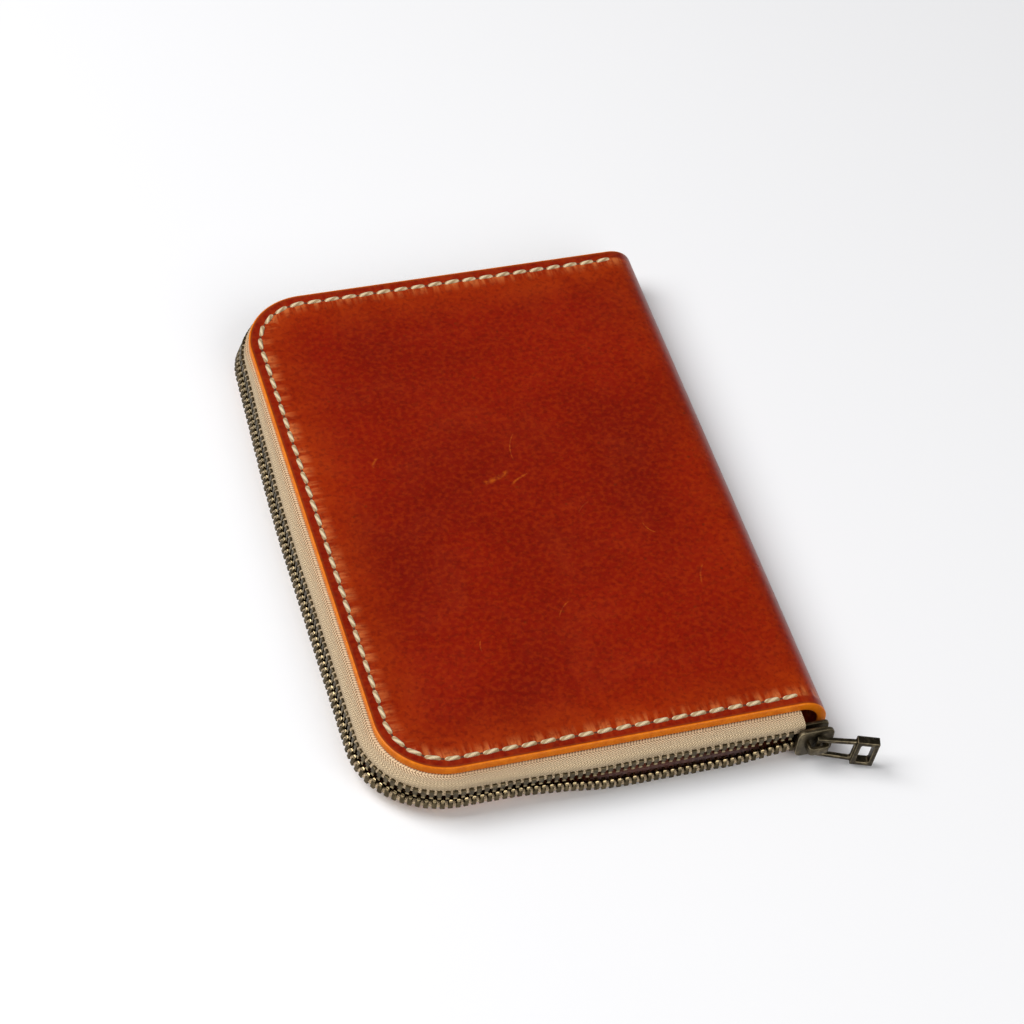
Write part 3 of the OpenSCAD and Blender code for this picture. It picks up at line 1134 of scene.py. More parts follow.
def dress(obj: bpy.types.Object, material: bpy.types.Material, slot: str, *nodes: str) -> bpy.types.Object:
    """Give a piece its one material and hide the CAD nodes that it stands for.

    Args:
        obj: the finished piece.
        material: its finish.
        slot: not used.
        *nodes: CAD nodes that it replaces.

    Returns:
        The piece.
    """
    obj.data.materials.clear()
    obj.data.materials.append(material)
    if nodes:
        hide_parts(*nodes)
    LOG.info("%s: %d faces", obj.name, len(obj.data.polygons))
    return obj


# ---------------------------------------------------------------------------
# Covers
# ---------------------------------------------------------------------------


@dataclass
class Covers:
    """The wrap-round leather, as two halves that meet along the middle of the spine."""

    plan: Plan
    finishes: Finishes
    edge_roll: float = 0.28 * MM
    loops: tuple[float, ...] = (0.75, 0.85, 0.95, 0.9, 2.0, 4.0)
    channel: float = 0.22 * MM
    wave: float = 0.22 * MM
    grid_step: float = 6.0 * MM
    spine_steps: int = 20
    overhang: float = 12 * MM

    def build(self) -> None:
        """Build both halves; neither is bent over its fold."""
        front = self.half("front_leather")
        back = Bench.copy(front, "back_leather", self.flip())
        Bench.outward(back)
        for obj in (front, back):
            Bench.smooth(obj, 38)
            self.remember_place(obj)
        dress(front, self.finishes.cover, "cover_leather", "front_cover", "spine")
        dress(back, self.finishes.cover, "cover_leather", "back_cover")
        self.hinge(front, Side.FRONT)
        self.hinge(back, Side.BACK)

    def flip(self) -> Matrix:
        """Return the move that turns the front half into the back half."""
        turn = Matrix.Scale(-1, 4, (0, 0, 1))
        return Matrix.Translation((0, 0, self.plan.height)) @ turn

    def half(self, name: str) -> bpy.types.Object:
        """Model the front half flat, then spin its cut end round the spine.

        Args:
            name: the piece's name.

        Returns:
            The closed leather half.
        """
        p = self.plan
        low, high = Vector((p.left, -p.half_l, 0)), Vector((p.spine_x + self.overhang, p.half_l, 0))
        obj = Bench.plane(name, low, high, p.height)
        Bench.select(obj, verts=lambda v: v.co.x < p.left + MM)
        bpy.ops.mesh.bevel(offset=p.corner_r, offset_type="OFFSET", segments=20, affect="VERTICES")
        Bench.select(obj, faces=Bench.all_faces)
        for width in self.loops:
            bpy.ops.mesh.inset(thickness=width * MM)
        bpy.ops.object.mode_set(mode="OBJECT")
        Bench.modify(obj, "SOLIDIFY", thickness=p.leather, offset=-1, use_even_offset=True)
        self.round_cut_edge(obj)
        Bench.cut(obj, (p.spine_x, 0, 0), (1, 0, 0), drop=True)
        self.spin_spine(obj)
        self.add_grid(obj)
        self.press_channel(obj)
        self.unevenness(obj)
        Bench.outward(obj)
        return obj

    def round_cut_edge(self, obj: bpy.types.Object) -> None:
        """Roll over the two corners of the cut edge all round.

        Args:
            obj: the piece to work on.
        """
        Bench.take(obj)
        bpy.ops.object.mode_set(mode="EDIT")
        bpy.ops.mesh.select_mode(type="EDGE")
        bpy.ops.mesh.select_all(action="DESELECT")
        bpy.ops.mesh.edges_select_sharp(sharpness=math.radians(60))
        bpy.ops.mesh.bevel(offset=self.edge_roll, segments=3, profile=0.5, affect="EDGES")
        bpy.ops.object.mode_set(mode="OBJECT")

    def spin_spine(self, obj: bpy.types.Object) -> None:
        """Spin the open end a quarter turn round the spine's axis and close it.

        Args:
            obj: the piece to work on.
        """
        p = self.plan
        last = math.radians(1.2)
        Bench.select(obj, edges=lambda e: e.is_boundary)
        for steps, angle in ((self.spine_steps, math.pi / 2 - last), (1, last)):
            bpy.ops.mesh.spin(
                steps=steps, angle=angle, center=(p.spine_x, 0, p.height / 2), axis=(0, -1, 0), dupli=False
            )
        bpy.ops.mesh.edge_face_add()
        bpy.ops.object.mode_set(mode="OBJECT")

    def add_grid(self, obj: bpy.types.Object) -> None:
        """Cut the broad faces into a grid fine enough to hold slight waves.

        Args:
            obj: the piece to work on.
        """
        p = self.plan
        x = p.left + self.grid_step
        while x < p.spine_x - self.grid_step / 2:
            Bench.cut(obj, (x, 0, 0), (1, 0, 0))
            x += self.grid_step
        rows = int(2 * p.half_l / self.grid_step)
        for i in range(1, rows):
            Bench.cut(obj, (0, -p.half_l + i * self.grid_step, 0), (0, 1, 0))

    def edge_distance(self, co: Vector) -> float:
        """Return how far in from the cut edge a point of the flat cover lies.

        Args:
            co: the point.

        Returns:
            The distance in metres.
        """
        p = self.plan
        across = p.left + p.corner_r - co.x
        along = abs(co.y) - (p.half_l - p.corner_r)
        outside = math.hypot(max(across, 0), max(along, 0))
        return p.corner_r - outside - min(max(across, along), 0)

    def press_channel(self, obj: bpy.types.Object) -> None:
        """Press the stitch channel into the outer face.

        Args:
            obj: the piece to work on.
        """
        p = self.plan
        tolerance = 0.12 * MM

        def in_channel(v: bmesh.types.BMVert) -> bool:
            """Pick the outer loop that lies on the stitch line."""
            flat = v.co.z > p.height - 0.1 * MM and v.co.x < p.spine_x - 0.5 * MM
            return flat and abs(self.edge_distance(v.co) - p.seam_in) < tolerance

        Bench.select(obj, verts=in_channel)
        bpy.ops.transform.translate(value=(0, 0, -self.channel))
        bpy.ops.object.mode_set(mode="OBJECT")

    def unevenness(self, obj: bpy.types.Object) -> None:
        """Let the flat leather rise and fall a little, as hide does.

        Args:
            obj: the piece to work on.
        """
        p = self.plan
        group = obj.vertex_groups.new(name="free")
        for v in obj.data.vertices:
            from_spine = smoothstep((p.spine_x - v.co.x) / (15 * MM))
            ease = from_spine * smoothstep((self.edge_distance(v.co) - MM) / (8 * MM))
            if v.co.z > p.height - 0.5 * MM:
                group.add([v.index], ease, "REPLACE")
        cloud = bpy.data.textures.new("hide_waves", "CLOUDS")
        cloud.noise_scale = 26 * MM
        cloud.noise_depth = 1
        Bench.modify(
            obj, "DISPLACE", texture=cloud, texture_coords="GLOBAL", direction="Z", vertex_group="free",
            strength=self.wave, mid_level=1.0,
        )
        obj.vertex_groups.clear()

    def remember_place(self, obj: bpy.types.Object) -> None:
        """Store where each point is at rest, for the finish to read.

        Args:
            obj: the piece to work on.
        """
        attribute = obj.data.attributes.new(CoverLeather.place_name, "FLOAT_VECTOR", "POINT")
        for i, v in enumerate(obj.data.vertices):
            attribute.data[i].vector = v.co

    def hinge(self, obj: bpy.types.Object, side: Side) -> None:
        """Find a half's fold points on the spine's curve and bake its transform into its mesh; the half is
        not bent.

        Args:
            obj: the leather half.
            side: which half.
        """
        p = self.plan

        def on_curve(degrees: float) -> tuple[float, float, float]:
            """Return a point of the spine's mid thickness, 0 degrees pointing at +X."""
            radius, angle = p.spine_r - p.leather / 2, math.radians(degrees) * side.value
            return (p.spine_x + radius * math.cos(angle), 0, p.height / 2 + radius * math.sin(angle))

        start, end = on_curve(12), on_curve(82)
        side.word
        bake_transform(obj)
        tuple(start)
        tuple(end)


# ---------------------------------------------------------------------------
# Seams
# ---------------------------------------------------------------------------


@dataclass
class Seam:
    """Hand saddle stitching round the three open sides of one cover."""

    plan: Plan
    finishes: Finishes
    side: Side
    pitch: float = 4.0 * MM
    sewn: float = 3.2 * MM
    shown: float = 3.45 * MM
    thread: float = 0.98 * MM
    slant: float = 4.0
    seed: int = 7
    front_sink: float = 0.16 * MM
    back_lift: float = 0.52 * MM
    rings: tuple[float, ...] = (-0.47, -0.41, -0.32, -0.16, 0.0, 0.16, 0.32, 0.41, 0.47)

    def build(self) -> None:
        """Build the stitches and, between them, the awl holes as dark lenses of painted shade."""
        stitches = Bench.repeat(self.stitch(), f"{self.side.word}_stitches", self.places(0.0))
        Bench.smooth(stitches, 60)
        node = f"{self.side.word}_seam"
        dress(stitches, self.finishes.thread, "thread", node)
        hole_shades = Bench.repeat(self.hole(), f"{self.side.word}_awl_holes", self.places(0.5))
        Bench.smooth(hole_shades, 60)
        dress(hole_shades, self.finishes.hole, "cover_leather")
        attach(stitches, self.side.word)
        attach(hole_shades, self.side.word)

    def stitch(self) -> bpy.types.Object:
        """Model one stitch: a plump twisted thread whose ends dive into the leather.

        Returns:
            The stitch, its middle at the origin.
        """
        Bench.clear()
        bpy.ops.mesh.primitive_cylinder_add(
            vertices=12, radius=self.thread / 2, depth=self.shown, rotation=(0, math.pi / 2, 0)
        )
        obj = bpy.context.object
        Bench.settle(obj)
        for x in self.rings:
            Bench.cut(obj, (x * self.shown, 0, 0), (1, 0, 0))
        for v in obj.data.vertices:
            t = abs(v.co.x) / (self.shown / 2)
            full = math.sqrt(max(1 - t**7, 0.10))
            v.co.z = v.co.z * full - 0.26 * MM * t**4
            v.co.y *= full
        return obj

    def hole(self) -> bpy.types.Object:
        """Model one awl hole as a flat dark lens, painted shade in place of the opening that the thread goes
        down.

        Returns:
            The hole, its middle at the origin.
        """
        Bench.clear()
        bpy.ops.mesh.primitive_uv_sphere_add(segments=10, ring_count=5, radius=0.5 * MM)
        obj = bpy.context.object
        obj.scale = (0.72, 0.60, 0.16)
        Bench.settle(obj)
        return obj

    def places(self, shift: float) -> Iterable[Matrix]:
        """Yield a place for each stitch, or for each hole when shift is a half.

        Args:
            shift: how far along the pitch the places are moved.

        Yields:
            One matrix for each place.
        """
        rng = random.Random(self.seed)
        off = -self.plan.seam_in
        length = self.plan.run_length(off)
        count = int((length + self.pitch - self.sewn) / self.pitch)
        start = (length - (count - 1) * self.pitch) / 2
        top = self.plan.height - self.front_sink if self.side is Side.FRONT else self.back_lift
        flip = Matrix.Identity(4) if self.side is Side.FRONT else Matrix.Rotation(math.pi, 4, "X")
        whole = shift == 0.0
        for i in range(count if whole else count - 1):
            station = self.plan.station(start + (i + shift) * self.pitch, off)
            yaw = math.radians(self.slant + rng.uniform(-2.5, 2.5)) if whole else 0.0
            lift = rng.uniform(-0.04, 0.05) * MM if whole else -0.04 * MM * self.side.value
            stretch = Matrix.Scale(1 + rng.uniform(-0.05, 0.03), 4, (1, 0, 0))
            yield station.frame(off, top + lift) @ Matrix.Rotation(yaw, 4, "Z") @ flip @ stretch


# ---------------------------------------------------------------------------
# Zip rows
# ---------------------------------------------------------------------------


@dataclass
class ZipRow:
    """One tape with its bead, teeth and stops."""

    plan: Plan
    line: ZipLine
    finishes: Finishes
    side: Side
    step: float = 1.3 * MM
    across: int = 16
    bead_out: float = 0.66 * MM
    bead_up: float = 0.62 * MM
    bead_from_foot: float = 0.75 * MM
    tooth_t: float = 1.6 * MM
    tooth_half_w: float = 0.5 * MM
    leg_l: float = 1.35 * MM
    drops: tuple[tuple[float, float, float], ...] = (
        (0.22, 0.58, 0.82), (0.30, 1.0, 1.0), (0.22, 1.42, 1.06), (0.28, 0.94, 0.94), (0.13, 0.6, 0.66),
    )
    row_end_gap: float = 4.0 * MM
    seed: int = 11

    def build(self) -> None:
        """Build the tape, its bead, the teeth and the stops, and for the lower row a dark sheet of painted
        shade.
        """
        tape = self.tape()
        bead = self.bead()
        teeth = self.teeth()
        # The lower row gets a dark sheet of painted shade over the inside of its tape
        painted_shade_sheets = [self.painted_shade_sheet()] if self.side is Side.BACK else []
        for obj in (tape, bead, teeth, *painted_shade_sheets, *self.stops()):
            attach(obj, self.side.word)
        flat_w = self.section_length()
        flat_l = self.last_u() - self.first_u()

    def first_u(self) -> float:
        """Where the tape starts, measured along the covers' edge."""
        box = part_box(f"{self.side.row}_tape")
        return self.plan.spine_x - box[1][0] if self.side is Side.FRONT else 0.0

    def last_u(self) -> float:
        """Where the tape ends, measured along the covers' edge."""
        return self.plan.run_length(0.0)

    def section_length(self) -> float:
        """Width of the tape, measured round its cross section.

        Returns:
            The width in metres.
        """
        points = self.line.section(self.side, self.plan.station(self.line.closing[1]))
        marks = [self.line.along(points, i / 60) for i in range(61)]
        return sum((b - a).length for a, b in zip(marks, marks[1:]))

    def swept(self, name: str, us: Sequence[float], count: int, point: Callable[[float, int], Vector],
              wrap: bool = False) -> bpy.types.Object:
        """Lay a grid along the run.

        Args:
            name: the piece's name.
            us: distances along the run, one for each row of points.
            count: points across.
            point: gives the place of point j across at distance u.
            wrap: whether the last point across meets the first.

        Returns:
            The laid grid, with a UV map in metres along and across.
        """
        Bench.clear()
        bpy.ops.mesh.primitive_grid_add(x_subdivisions=len(us) - 1, y_subdivisions=count - 1, size=1)
        obj = bpy.context.object
        obj.name = name
        columns = len(us)
        width = self.section_length()
        rank = []
        for v in obj.data.vertices:
            i, j = round((v.co.x + 0.5) * (columns - 1)), round((v.co.y + 0.5) * (count - 1))
            rank.append((i, j))
            v.co = point(us[i], j)
        uv = obj.data.uv_layers[0].data
        for loop in obj.data.loops:
            i, j = rank[loop.vertex_index]
            uv[loop.index].uv = (us[i], width * j / (count - 1))
        if wrap:
            Bench.outward(obj)
        return obj

    def marks(self, first: float, last: float) -> list[float]:
        """Return evenly spaced distances from first to last."""
        count = int((last - first) / self.step)
        return [mix(first, last, i / count) for i in range(count + 1)]

    def ripple(self, u: float) -> float:
        """Return how far the tape wanders from its line."""
        return 0.07 * MM * (math.sin(u / (7.3 * MM) + self.side.value) + 0.6 * math.sin(u / (3.1 * MM)))

    def tape(self) -> bpy.types.Object:
        """Build the woven tape.

        Returns:
            The dressed tape.
        """
        first, last = self.first_u(), self.last_u()

        def point(u: float, j: int) -> Vector:
            """Return a point of the tape's middle surface.

            Args:
                u: distance along the run.
                j: number of the point across.

            Returns:
                The place of the point.
            """
            station = self.plan.station(u)
            t = j / (self.across - 1)
            s = self.line.along(self.line.section(self.side, station), t)
            shown = smoothstep((t - 0.25) / 0.3) * (1 - smoothstep((t - 0.7) / 0.3))
            return station.at(s.x + self.ripple(u) * shown, s.y + self.ripple(u * 1.3) * shown)

        obj = self.swept(f"{self.side.row}_zip_tape", self.marks(first, last), self.across, point)
        Bench.modify(obj, "SOLIDIFY", thickness=self.line.tape_t * 0.8, offset=0.0)
        Bench.smooth(obj, 50)
        return dress(obj, self.finishes.tape, "zip_tape", f"{self.side.row}_tape")

    def painted_shade_sheet(self) -> bpy.types.Object:
        """Build a thin dark sheet over the inside of the lower tape, which paints in the shade that falls in
        the cavity between the two rows.

        Returns:
            The dressed sheet of painted shade.
        """
        count, first, last, proud = 9, 0.16, 0.84, 0.34 * MM

        def point(u: float, j: int) -> Vector:
            """Return a point of the painted-shade sheet, a little above the tape.

            Args:
                u: distance along the run.
                j: number of the point across.

            Returns:
                The place of the point.
            """
            station = self.plan.station(u)
            section = self.line.section(self.side, station)
            t = mix(first, last, j / (count - 1))
            ahead = self.line.along(section, t + 0.02) - self.line.along(section, t - 0.02)
            s = self.line.along(section, t) + Vector((-ahead.y, ahead.x)).normalized() * proud
            return station.at(s.x, s.y)

        obj = self.swept(f"{self.side.row}_zip_painted_shade", self.marks(0.0, self.last_u()), count, point)
        Bench.modify(obj, "SOLIDIFY", thickness=0.12 * MM, offset=0.0)
        Bench.smooth(obj, 50)
        # The inner leather's dark finish, used here as painted shade inside the zip
        return dress(obj, self.finishes.inner, "inner_leather")

    def bead(self) -> bpy.types.Object:
        """Build the woven bead that the teeth are clamped on.

        Returns:
            The dressed bead.
        """
        sides = 10
        first = self.plan.spine_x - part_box(f"{self.side.row}_teeth")[1][0]

        def point(u: float, j: int) -> Vector:
            """Return a point round the bead.

            Args:
                u: distance along the run.
                j: number of the point round the bead.

            Returns:
                The place of the point.
            """
            station = self.plan.station(u)
            angle = 2 * math.pi * j / sides
            lump = 1 + 0.07 * math.sin(2 * math.pi * u / self.line.pitch)
            place = self.line.row_place(self.side, station, self.line.tooth_l - self.bead_from_foot)
            round_it = Vector((0, math.cos(angle) * self.bead_out, math.sin(angle) * self.bead_up))
            return place @ (round_it * lump)

        marks = self.marks(first, self.last_u() - MM)
        obj = self.swept(f"{self.side.row}_zip_bead", marks, sides + 1, point, True)
        Bench.smooth(obj, 50)
        return dress(obj, self.finishes.tape, "zip_tape", f"{self.side.row}_cord")

    def tooth(self) -> bpy.types.Object:
        """Model one tooth, head at the bottom: clamp legs, a neck and a rounded head.

        Returns:
            The tooth, its head's tip at the origin.
        """
        w, t, length = self.tooth_half_w, self.tooth_t / 2, self.line.tooth_l
        obj = Bench.block("tooth", (-w, -t, length - self.leg_l), (w, t, length))

        def lowest(face: bmesh.types.BMFace) -> bool:
            """Pick the face that looks down."""
            return face.normal.z < -0.9

        for drop, wide, deep in self.drops:
            Bench.select(obj, faces=lowest)
            bpy.ops.mesh.extrude_region_move(TRANSFORM_OT_translate={"value": (0, 0, -drop * MM)})
            bpy.ops.transform.resize(value=(wide, deep, 1))
            bpy.ops.object.mode_set(mode="OBJECT")
        Bench.modify(
            obj, "BEVEL", width=0.09 * MM, segments=1, limit_method="ANGLE", angle_limit=math.radians(50)
        )
        # The heads get a far larger share: a painted highlight on top of the edges' wear
        Bench.mark_wear_and_highlight(obj, lambda co: 0.35 + 1.9 * smoothstep((1.0 * MM - co.z) / (0.7 * MM)))
        return obj

    def teeth(self) -> bpy.types.Object:
        """Copy the tooth along the row.

        Returns:
            The dressed row of teeth.
        """
        node = f"{self.side.row}_teeth"
        top_first = self.plan.spine_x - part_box("upper_teeth")[1][0] + self.tooth_half_w
        own_first = self.plan.spine_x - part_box(node)[1][0] + self.tooth_half_w
        steps = round((own_first - top_first) / (self.line.pitch / 2))
        first = top_first + steps * self.line.pitch / 2
        count = int((self.plan.run_length(self.line.out) - self.row_end_gap - first) / self.line.pitch)
        turn_over = Matrix.Identity(4) if self.side is Side.FRONT else Matrix.Rotation(math.pi, 4, "Y")
        rng = random.Random(self.seed + self.side.value)

        def places() -> Iterable[Matrix]:
            """Yield one place for each tooth.

            Returns:
                One matrix for each tooth.
            """
            for i in range(count + 1):
                station = self.plan.station(first + i * self.line.pitch, self.line.out)
                lean = Matrix.Rotation(math.radians(rng.uniform(-2, 2)), 4, "Y")
                sway = Matrix.Translation((0, rng.uniform(-0.04, 0.04) * MM, 0))
                yield self.line.row_place(self.side, station, 0.0) @ sway @ turn_over @ lean

        obj = Bench.repeat(self.tooth(), f"{self.side.row}_zip_teeth", places())
        Bench.smooth(obj, 35)
        return dress(obj, self.finishes.teeth, "zip_teeth", node)

    def stops(self) -> list[bpy.types.Object]:
        """Build the crimped stops of this row from the CAD stops' boxes.

        Returns:
            The dressed stops.
        """
        nodes = [n for n in frame["nodes"] if n.startswith(self.side.row) and n.endswith("stop")]
        made = []
        for node in sorted(nodes):
            low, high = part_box(node)
            obj = Bench.block(f"{node}_crimp", low, high)
            Bench.select(obj, faces=lambda f: abs(f.normal.y) > 0.9)
            bpy.ops.mesh.inset(thickness=0.3 * MM, depth=-0.12 * MM)
            bpy.ops.object.mode_set(mode="OBJECT")
            Bench.modify(obj, "BEVEL", width=0.18 * MM, segments=3)
            Bench.smooth(obj, 40)
            Bench.mark_wear_and_highlight(obj)
            made.append(dress(obj, self.finishes.teeth, "zip_teeth", node))
        return made


# ---------------------------------------------------------------------------
# Inside
# ---------------------------------------------------------------------------


@dataclass
class Inside:
    """Panels and pockets, one thin leather leaf each."""

    plan: Plan
    finishes: Finishes
    inset: float = 1.2 * MM
    leaves: dict[str, tuple[str, ...]] = field(default_factory=lambda: {
        "back": ("back_panel", "passport_pocket"),
        "front": ("front_panel", "card_pocket_1", "card_pocket_2", "card_pocket_3"),
    })

    def build(self) -> None:
        """Build every leaf and the pocket's own stitching."""
        for body, nodes in self.leaves.items():
            for node in nodes:
                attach(self.leaf(node), body)
        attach(self.pocket_stitches(), "front")

    def leaf(self, node: str) -> bpy.types.Object:
        """Model one leaf with two round corners and softened edges.

        Args:
            node: the CAD node whose place it takes.

        Returns:
            The dressed piece.
        """
        low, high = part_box(node)
        obj = Bench.plane(f"{node}_leaf", low, high, high[2])
        Bench.select(obj, verts=lambda v: v.co.x < low[0] + MM)
        bpy.ops.mesh.bevel(offset=self.plan.corner_r - self.inset, segments=14, affect="VERTICES")
        Bench.select(obj, faces=Bench.all_faces)
        bpy.ops.mesh.inset(thickness=1.4 * MM)
        bpy.ops.mesh.inset(thickness=0.3 * MM)
        bpy.ops.object.mode_set(mode="OBJECT")
        thick = high[2] - low[2]
        Bench.modify(obj, "SOLIDIFY", thickness=thick, offset=-1)
        Bench.modify(
            obj, "BEVEL", width=thick * 0.3, segments=2, limit_method="ANGLE", angle_limit=math.radians(60)
        )
        Bench.smooth(obj, 40)
        return dress(obj, self.finishes.inner, "inner_leather", node)

    def pocket_stitches(self) -> bpy.types.Object:
        """Build the short stitches that hold the card pockets.

        Returns:
            The dressed stitches.
        """
        low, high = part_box("card_pocket_seam")
        pitch, thread = 4.0 * MM, high[0] - low[0]
        count = round((high[1] - low[1]) / pitch)
        Bench.clear()
        bpy.ops.mesh.primitive_cylinder_add(
            vertices=10, radius=thread / 2, depth=3.2 * MM, rotation=(math.pi / 2, 0, 0)
        )
        master = bpy.context.object
        Bench.settle(master)
        Bench.modify(
            master, "BEVEL", width=thread * 0.3, segments=2, limit_method="ANGLE",
            angle_limit=math.radians(60),
        )
        x, z = (low[0] + high[0]) / 2, (low[2] + high[2]) / 2
        places = [Matrix.Translation((x, (i + 0.5 - count / 2) * pitch, z)) for i in range(count)]
        obj = Bench.repeat(master, "card_pocket_stitches", places)
        Bench.smooth(obj, 50)
        return dress(obj, self.finishes.thread, "thread", "card_pocket_seam")


# ---------------------------------------------------------------------------
# Slider and puller
# ---------------------------------------------------------------------------


@dataclass
class Slider:
    """The zip slider with its bail and its framed puller."""

    plan: Plan
    finishes: Finishes
    plate: float = 0.8 * MM
    droop: float = 5.0
    turn: float = 16.0
    corner: float = 1.6 * MM
    inner_corner: float = 1.0 * MM
    inner_half: float = 2.3 * MM
    rail_h: float = 0.45 * MM
    rail_d: float = 0.25 * MM
    rail_in: float = 0.7 * MM
    post_half: float = 0.4 * MM
    post_l: float = 3.4 * MM
    arch_wall: float = 0.75 * MM
    arm_l: float = 7.8 * MM
    puller_l: float = 12.4 * MM
    arm_root: float = 2.6 * MM
    arm_end: float = 3.2 * MM
    tip_half: float = 3.7 * MM
    bar_w: float = 0.9 * MM
    arm_t: float = 1.0 * MM
    tip_t: float = 2.0 * MM

    def build(self) -> None:
        """Build the slider, its bail and the puller."""
        for obj in (self.shell(), self.bail()):
            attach(obj, "slider")
        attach(self.puller(), "puller")

    def shell(self) -> bpy.types.Object:
        """Model the two plates, the rails between them and the post that parts the rows.

        Returns:
            The dressed shell.
        """
        low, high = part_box("slider_body")
        outer_y = low[1]
        inner_y = high[1]
        mid_z = (low[2] + high[2]) / 2
        plate_face = outer_y + self.plate
        outer = self.rounded("slider_outer", low, (high[0], plate_face, high[2]), self.corner)
        inner = self.rounded(
            "slider_inner", (low[0], inner_y - self.plate, mid_z - self.inner_half),
            (high[0], inner_y, mid_z + self.inner_half), self.inner_corner,
        )
        rails = [
            self.rounded(
                "slider_rail", (low[0] + self.rail_in, plate_face - 0.05 * MM, z),
                (high[0] - 2 * self.rail_in, plate_face + self.rail_d, z + self.rail_h), 0.08 * MM,
            )
            for z in (low[2], high[2] - self.rail_h)
        ]
        post = self.rounded(
            "slider_post", (low[0] + 0.2 * MM, outer_y + self.plate / 2, mid_z - self.post_half),
            (low[0] + self.post_l, inner_y - self.plate / 2, mid_z + self.post_half), 0.3 * MM,
        )
        obj = Bench.join("slider_shell", [outer, inner, *rails, post])
        Bench.smooth(obj, 40)
        Bench.mark_wear_and_highlight(obj)
        return dress(obj, self.finishes.slider, "slider_metal", "slider_body")

    def rounded(
        self, name: str, low: Sequence[float], high: Sequence[float], radius: float
    ) -> bpy.types.Object:
        """Model a plate whose outline in X and Z has round corners.

        Args:
            name: the piece's name.
            low: lowest corner.
            high: highest corner.
            radius: radius of the outline's corners.

        Returns:
            The plate.
        """
        obj = Bench.block(name, low, high)

        def across(edge: bmesh.types.BMEdge) -> bool:
            """Pick the edges that run through the plate."""
            a, b = edge.verts
            return abs(a.co.y - b.co.y) > 1e-5

        Bench.select(obj, edges=across)
        bpy.ops.mesh.bevel(offset=radius, segments=5, affect="EDGES")
        bpy.ops.object.mode_set(mode="OBJECT")
        thin = min(b - a for a, b in zip(low, high))
        Bench.modify(
            obj, "BEVEL", width=min(0.18 * MM, thin * 0.3), segments=2, limit_method="ANGLE",
            angle_limit=math.radians(50),
        )
        return obj

    def bail(self) -> bpy.types.Object:
        """Model the arched bail that the puller hangs in.

        Returns:
            The dressed bail.
        """
        low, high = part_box("slider_bail")
        obj = Bench.block("slider_arch", low, high)
        Bench.select(obj, faces=lambda f: abs(f.normal.z) > 0.9)
        bpy.ops.mesh.delete(type="FACE")
        bpy.ops.object.mode_set(mode="OBJECT")
        Bench.select(obj, faces=lambda f: f.normal.y > 0.9)
        bpy.ops.mesh.delete(type="FACE")
        bpy.ops.object.mode_set(mode="OBJECT")
        outer = low[1] + 0.5 * MM

        def corner(edge: bmesh.types.BMEdge) -> bool:
            """Pick the two corner edges of the arch."""
            a, b = edge.verts
            return abs(a.co.z - b.co.z) > 1e-5 and a.co.y < outer

        Bench.select(obj, edges=corner)
        bpy.ops.mesh.bevel(offset=1.0 * MM, segments=6, affect="EDGES")
        bpy.ops.object.mode_set(mode="OBJECT")
        Bench.modify(obj, "SOLIDIFY", thickness=self.arch_wall, offset=-1)
        Bench.outward(obj)
        Bench.modify(
            obj, "BEVEL", width=0.16 * MM, segments=2, limit_method="ANGLE", angle_limit=math.radians(50)
        )
        Bench.smooth(obj, 40)
        Bench.mark_wear_and_highlight(obj)
        return dress(obj, self.finishes.slider, "slider_metal", "slider_bail")

    def window_frame(self, name: str, corners: Sequence[tuple[float, float]], wall: float, thick: float,
                     soft: float) -> bpy.types.Object:
        """Model a flat frame round one window, in the XZ plane.

        Args:
            name: the piece's name.
            corners: the outline's four corners as (x, z), low left first and going round.
            wall: width of the frame's bars.
            thick: thickness through the frame.
            soft: radius of its long edges.

        Returns:
            The frame.
        """
        Bench.clear()
        bpy.ops.mesh.primitive_plane_add(size=1, rotation=(math.pi / 2, 0, 0))
        obj = bpy.context.object
        obj.name = name
        Bench.settle(obj)
        for v in obj.data.vertices:
            right, top = v.co.x > 0, v.co.z > 0
            x, z = corners[(2 if right else 3) if top else (1 if right else 0)]
            v.co = (x, 0, z)
        Bench.select(obj, faces=Bench.all_faces)
        bpy.ops.mesh.inset(thickness=wall)
        bpy.ops.mesh.delete(type="FACE")
        bpy.ops.object.mode_set(mode="OBJECT")
        xs = [c[0] for c in corners]
        low_x, high_x = min(xs) + wall / 2, max(xs) - wall / 2
        Bench.modify(obj, "SOLIDIFY", thickness=thick, offset=0)
        Bench.outward(obj)

        def window_corner(edge: bmesh.types.BMEdge) -> bool:
            """Pick the window's corner edges.

            Args:
                edge: the edge to test.

            Returns:
                Whether it is picked.
            """
            a, b = edge.verts
            through = abs(a.co.y - b.co.y) > thick / 2
            return through and low_x < a.co.x < high_x

        Bench.select(obj, edges=window_corner)
        bpy.ops.mesh.bevel(offset=0.55 * MM, segments=4, affect="EDGES")
        bpy.ops.object.mode_set(mode="OBJECT")
        Bench.modify(obj, "BEVEL", width=soft, segments=3, limit_method="ANGLE", angle_limit=math.radians(50))
        return obj

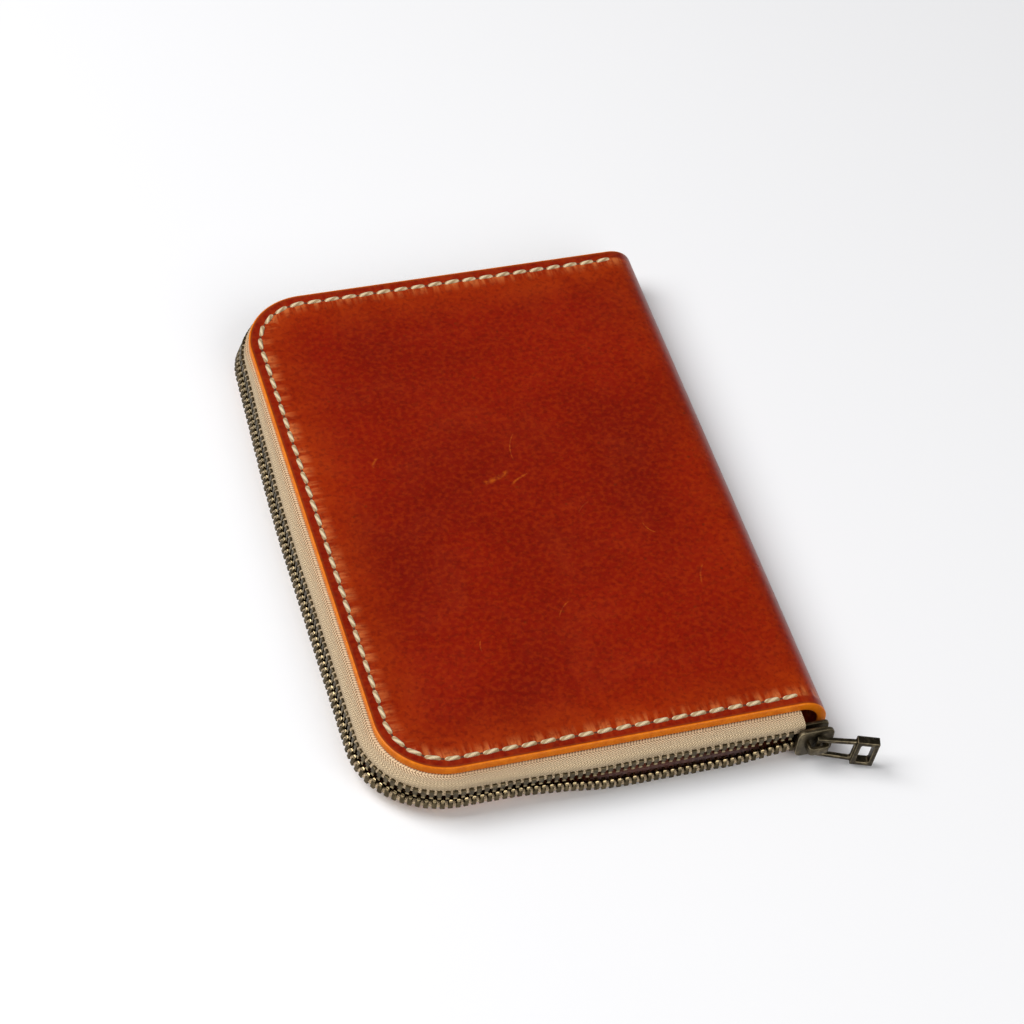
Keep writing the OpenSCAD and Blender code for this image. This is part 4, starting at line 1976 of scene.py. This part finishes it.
    def puller(self) -> bpy.types.Object:
        """Model the puller along +X from its pivot, then set it down as it rests.

        Returns:
            The dressed puller.
        """
        joints = frame["record"]["behaviour"]["joints"]
        pivot = Vector(next(j["pos_m"] for j in joints if j["name"] == "puller_swing"))
        start, joint = -0.5 * MM, self.arm_l + 0.45 * MM
        tip_start, tip_end, half = self.arm_l - 0.2 * MM, self.puller_l, self.tip_half
        root, end = self.arm_root, self.arm_end
        arm_corners = [(start, -root), (joint, -end), (joint, end), (start, root)]
        tip_corners = [(tip_start, -half), (tip_end, -half), (tip_end, half), (tip_start, half)]
        arms = self.window_frame("puller_arms", arm_corners, self.bar_w, self.arm_t, 0.22 * MM)
        tip = self.window_frame("puller_tip", tip_corners, 1.0 * MM, self.tip_t, 0.2 * MM)
        obj = Bench.join("puller_frame", [arms, tip])
        droop = Matrix.Rotation(math.radians(self.droop), 4, "Y")
        turn = Matrix.Rotation(math.radians(-self.turn), 4, "Z") @ droop
        obj.data.transform(Matrix.Translation(pivot) @ turn)
        Bench.smooth(obj, 40)
        Bench.mark_wear_and_highlight(obj)
        return dress(obj, self.finishes.slider, "slider_metal", "puller")


# ---------------------------------------------------------------------------
# Studio
# ---------------------------------------------------------------------------


@dataclass
class Studio:
    """Pale floor, soft light and the camera."""

    plan: Plan
    finishes: Finishes
    azimuth: float = -22.493
    elevation: float = 48.876
    roll: float = 8.036
    lens: float = 114.98
    distance: float = 694.84 * MM

    def build(self) -> None:
        """Make the floor, the lights and the camera."""
        self.floor()
        self.lights()
        self.camera()

    def floor(self) -> None:
        """Lay the floor under the wallet."""
        size = 3.0
        obj = Bench.plane("floor", Vector((-size, -size, 0)), Vector((size, size, 0)), 0.0)
        obj.data.materials.append(self.finishes.floor)

    def area(self, name: str, place: Vector, aim: Vector, size: float, power: float,
             colour: tuple[float, float, float] = (1, 1, 1)) -> None:
        """Hang a square soft light.

        Args:
            name: the light's name.
            place: where it hangs.
            aim: the point it looks at.
            size: side of the square.
            power: watts.
            colour: the light's colour.
        """
        data = bpy.data.lights.new(name, "AREA")
        data.shape = "SQUARE"
        data.size = size
        data.energy = power
        data.color = colour
        obj = bpy.data.objects.new(name, data)
        aimed = (place - aim).to_track_quat("Z", "Y").to_matrix().to_4x4()
        obj.matrix_world = Matrix.Translation(place) @ aimed
        bpy.context.collection.objects.link(obj)

    def lights(self) -> None:
        """Hang the key and fill lights and set the pale surroundings."""
        aim = Vector((0, 0, 0))
        self.area("key_light", Vector((-0.65, 0.25, 0.9)), aim, 0.8, 13.2)
        self.area("fill_light", Vector((0.3, -0.9, 0.8)), aim, 0.9, 7.2)
        world = bpy.data.worlds.new("pale_room")
        world.use_nodes = True
        background = world.node_tree.nodes["Background"]
        background.inputs["Color"].default_value = (1.0, 1.0, 1.0, 1)
        background.inputs["Strength"].default_value = 0.16
        bpy.context.scene.world = world
        bpy.context.scene.view_settings.view_transform = "Standard"

    def camera(self) -> None:
        """Set the camera at the angle from which the wallet is best known."""
        az, el, roll = (math.radians(a) for a in (self.azimuth, self.elevation, self.roll))
        back = Vector((math.sin(az) * math.cos(el), -math.cos(az) * math.cos(el), math.sin(el)))
        right = (-back).cross(Vector((0, 0, 1))).normalized()
        up = right.cross(-back)
        right, up = right * math.cos(roll) + up * math.sin(roll), up * math.cos(roll) - right * math.sin(roll)
        aim = Vector((-3.32 * MM, -4.54 * MM, self.plan.height))
        place = aim + back * self.distance
        matrix = Matrix((right, up, back)).transposed().to_4x4()
        data = bpy.data.cameras.new("camera")
        data.lens = self.lens
        data.sensor_width = 36
        data.clip_start = 0.01
        obj = bpy.data.objects.new("camera", data)
        obj.matrix_world = Matrix.Translation(place) @ matrix
        bpy.context.collection.objects.link(obj)
        bpy.context.scene.camera = obj


def main() -> None:
    """Build the wallet's looks round the frame, in order."""
    logging.basicConfig(level=logging.INFO, format="%(name)s: %(message)s")
    plan = Plan()
    finishes = Finishes(plan)
    line = ZipLine(plan)
    Studio(plan, finishes).build()
    Covers(plan, finishes).build()
    for side in Side:
        Seam(plan, finishes, side).build()
        ZipRow(plan, line, finishes, side).build()
    Inside(plan, finishes).build()
    Slider(plan, finishes).build()


if __name__ == "__main__":
    main()
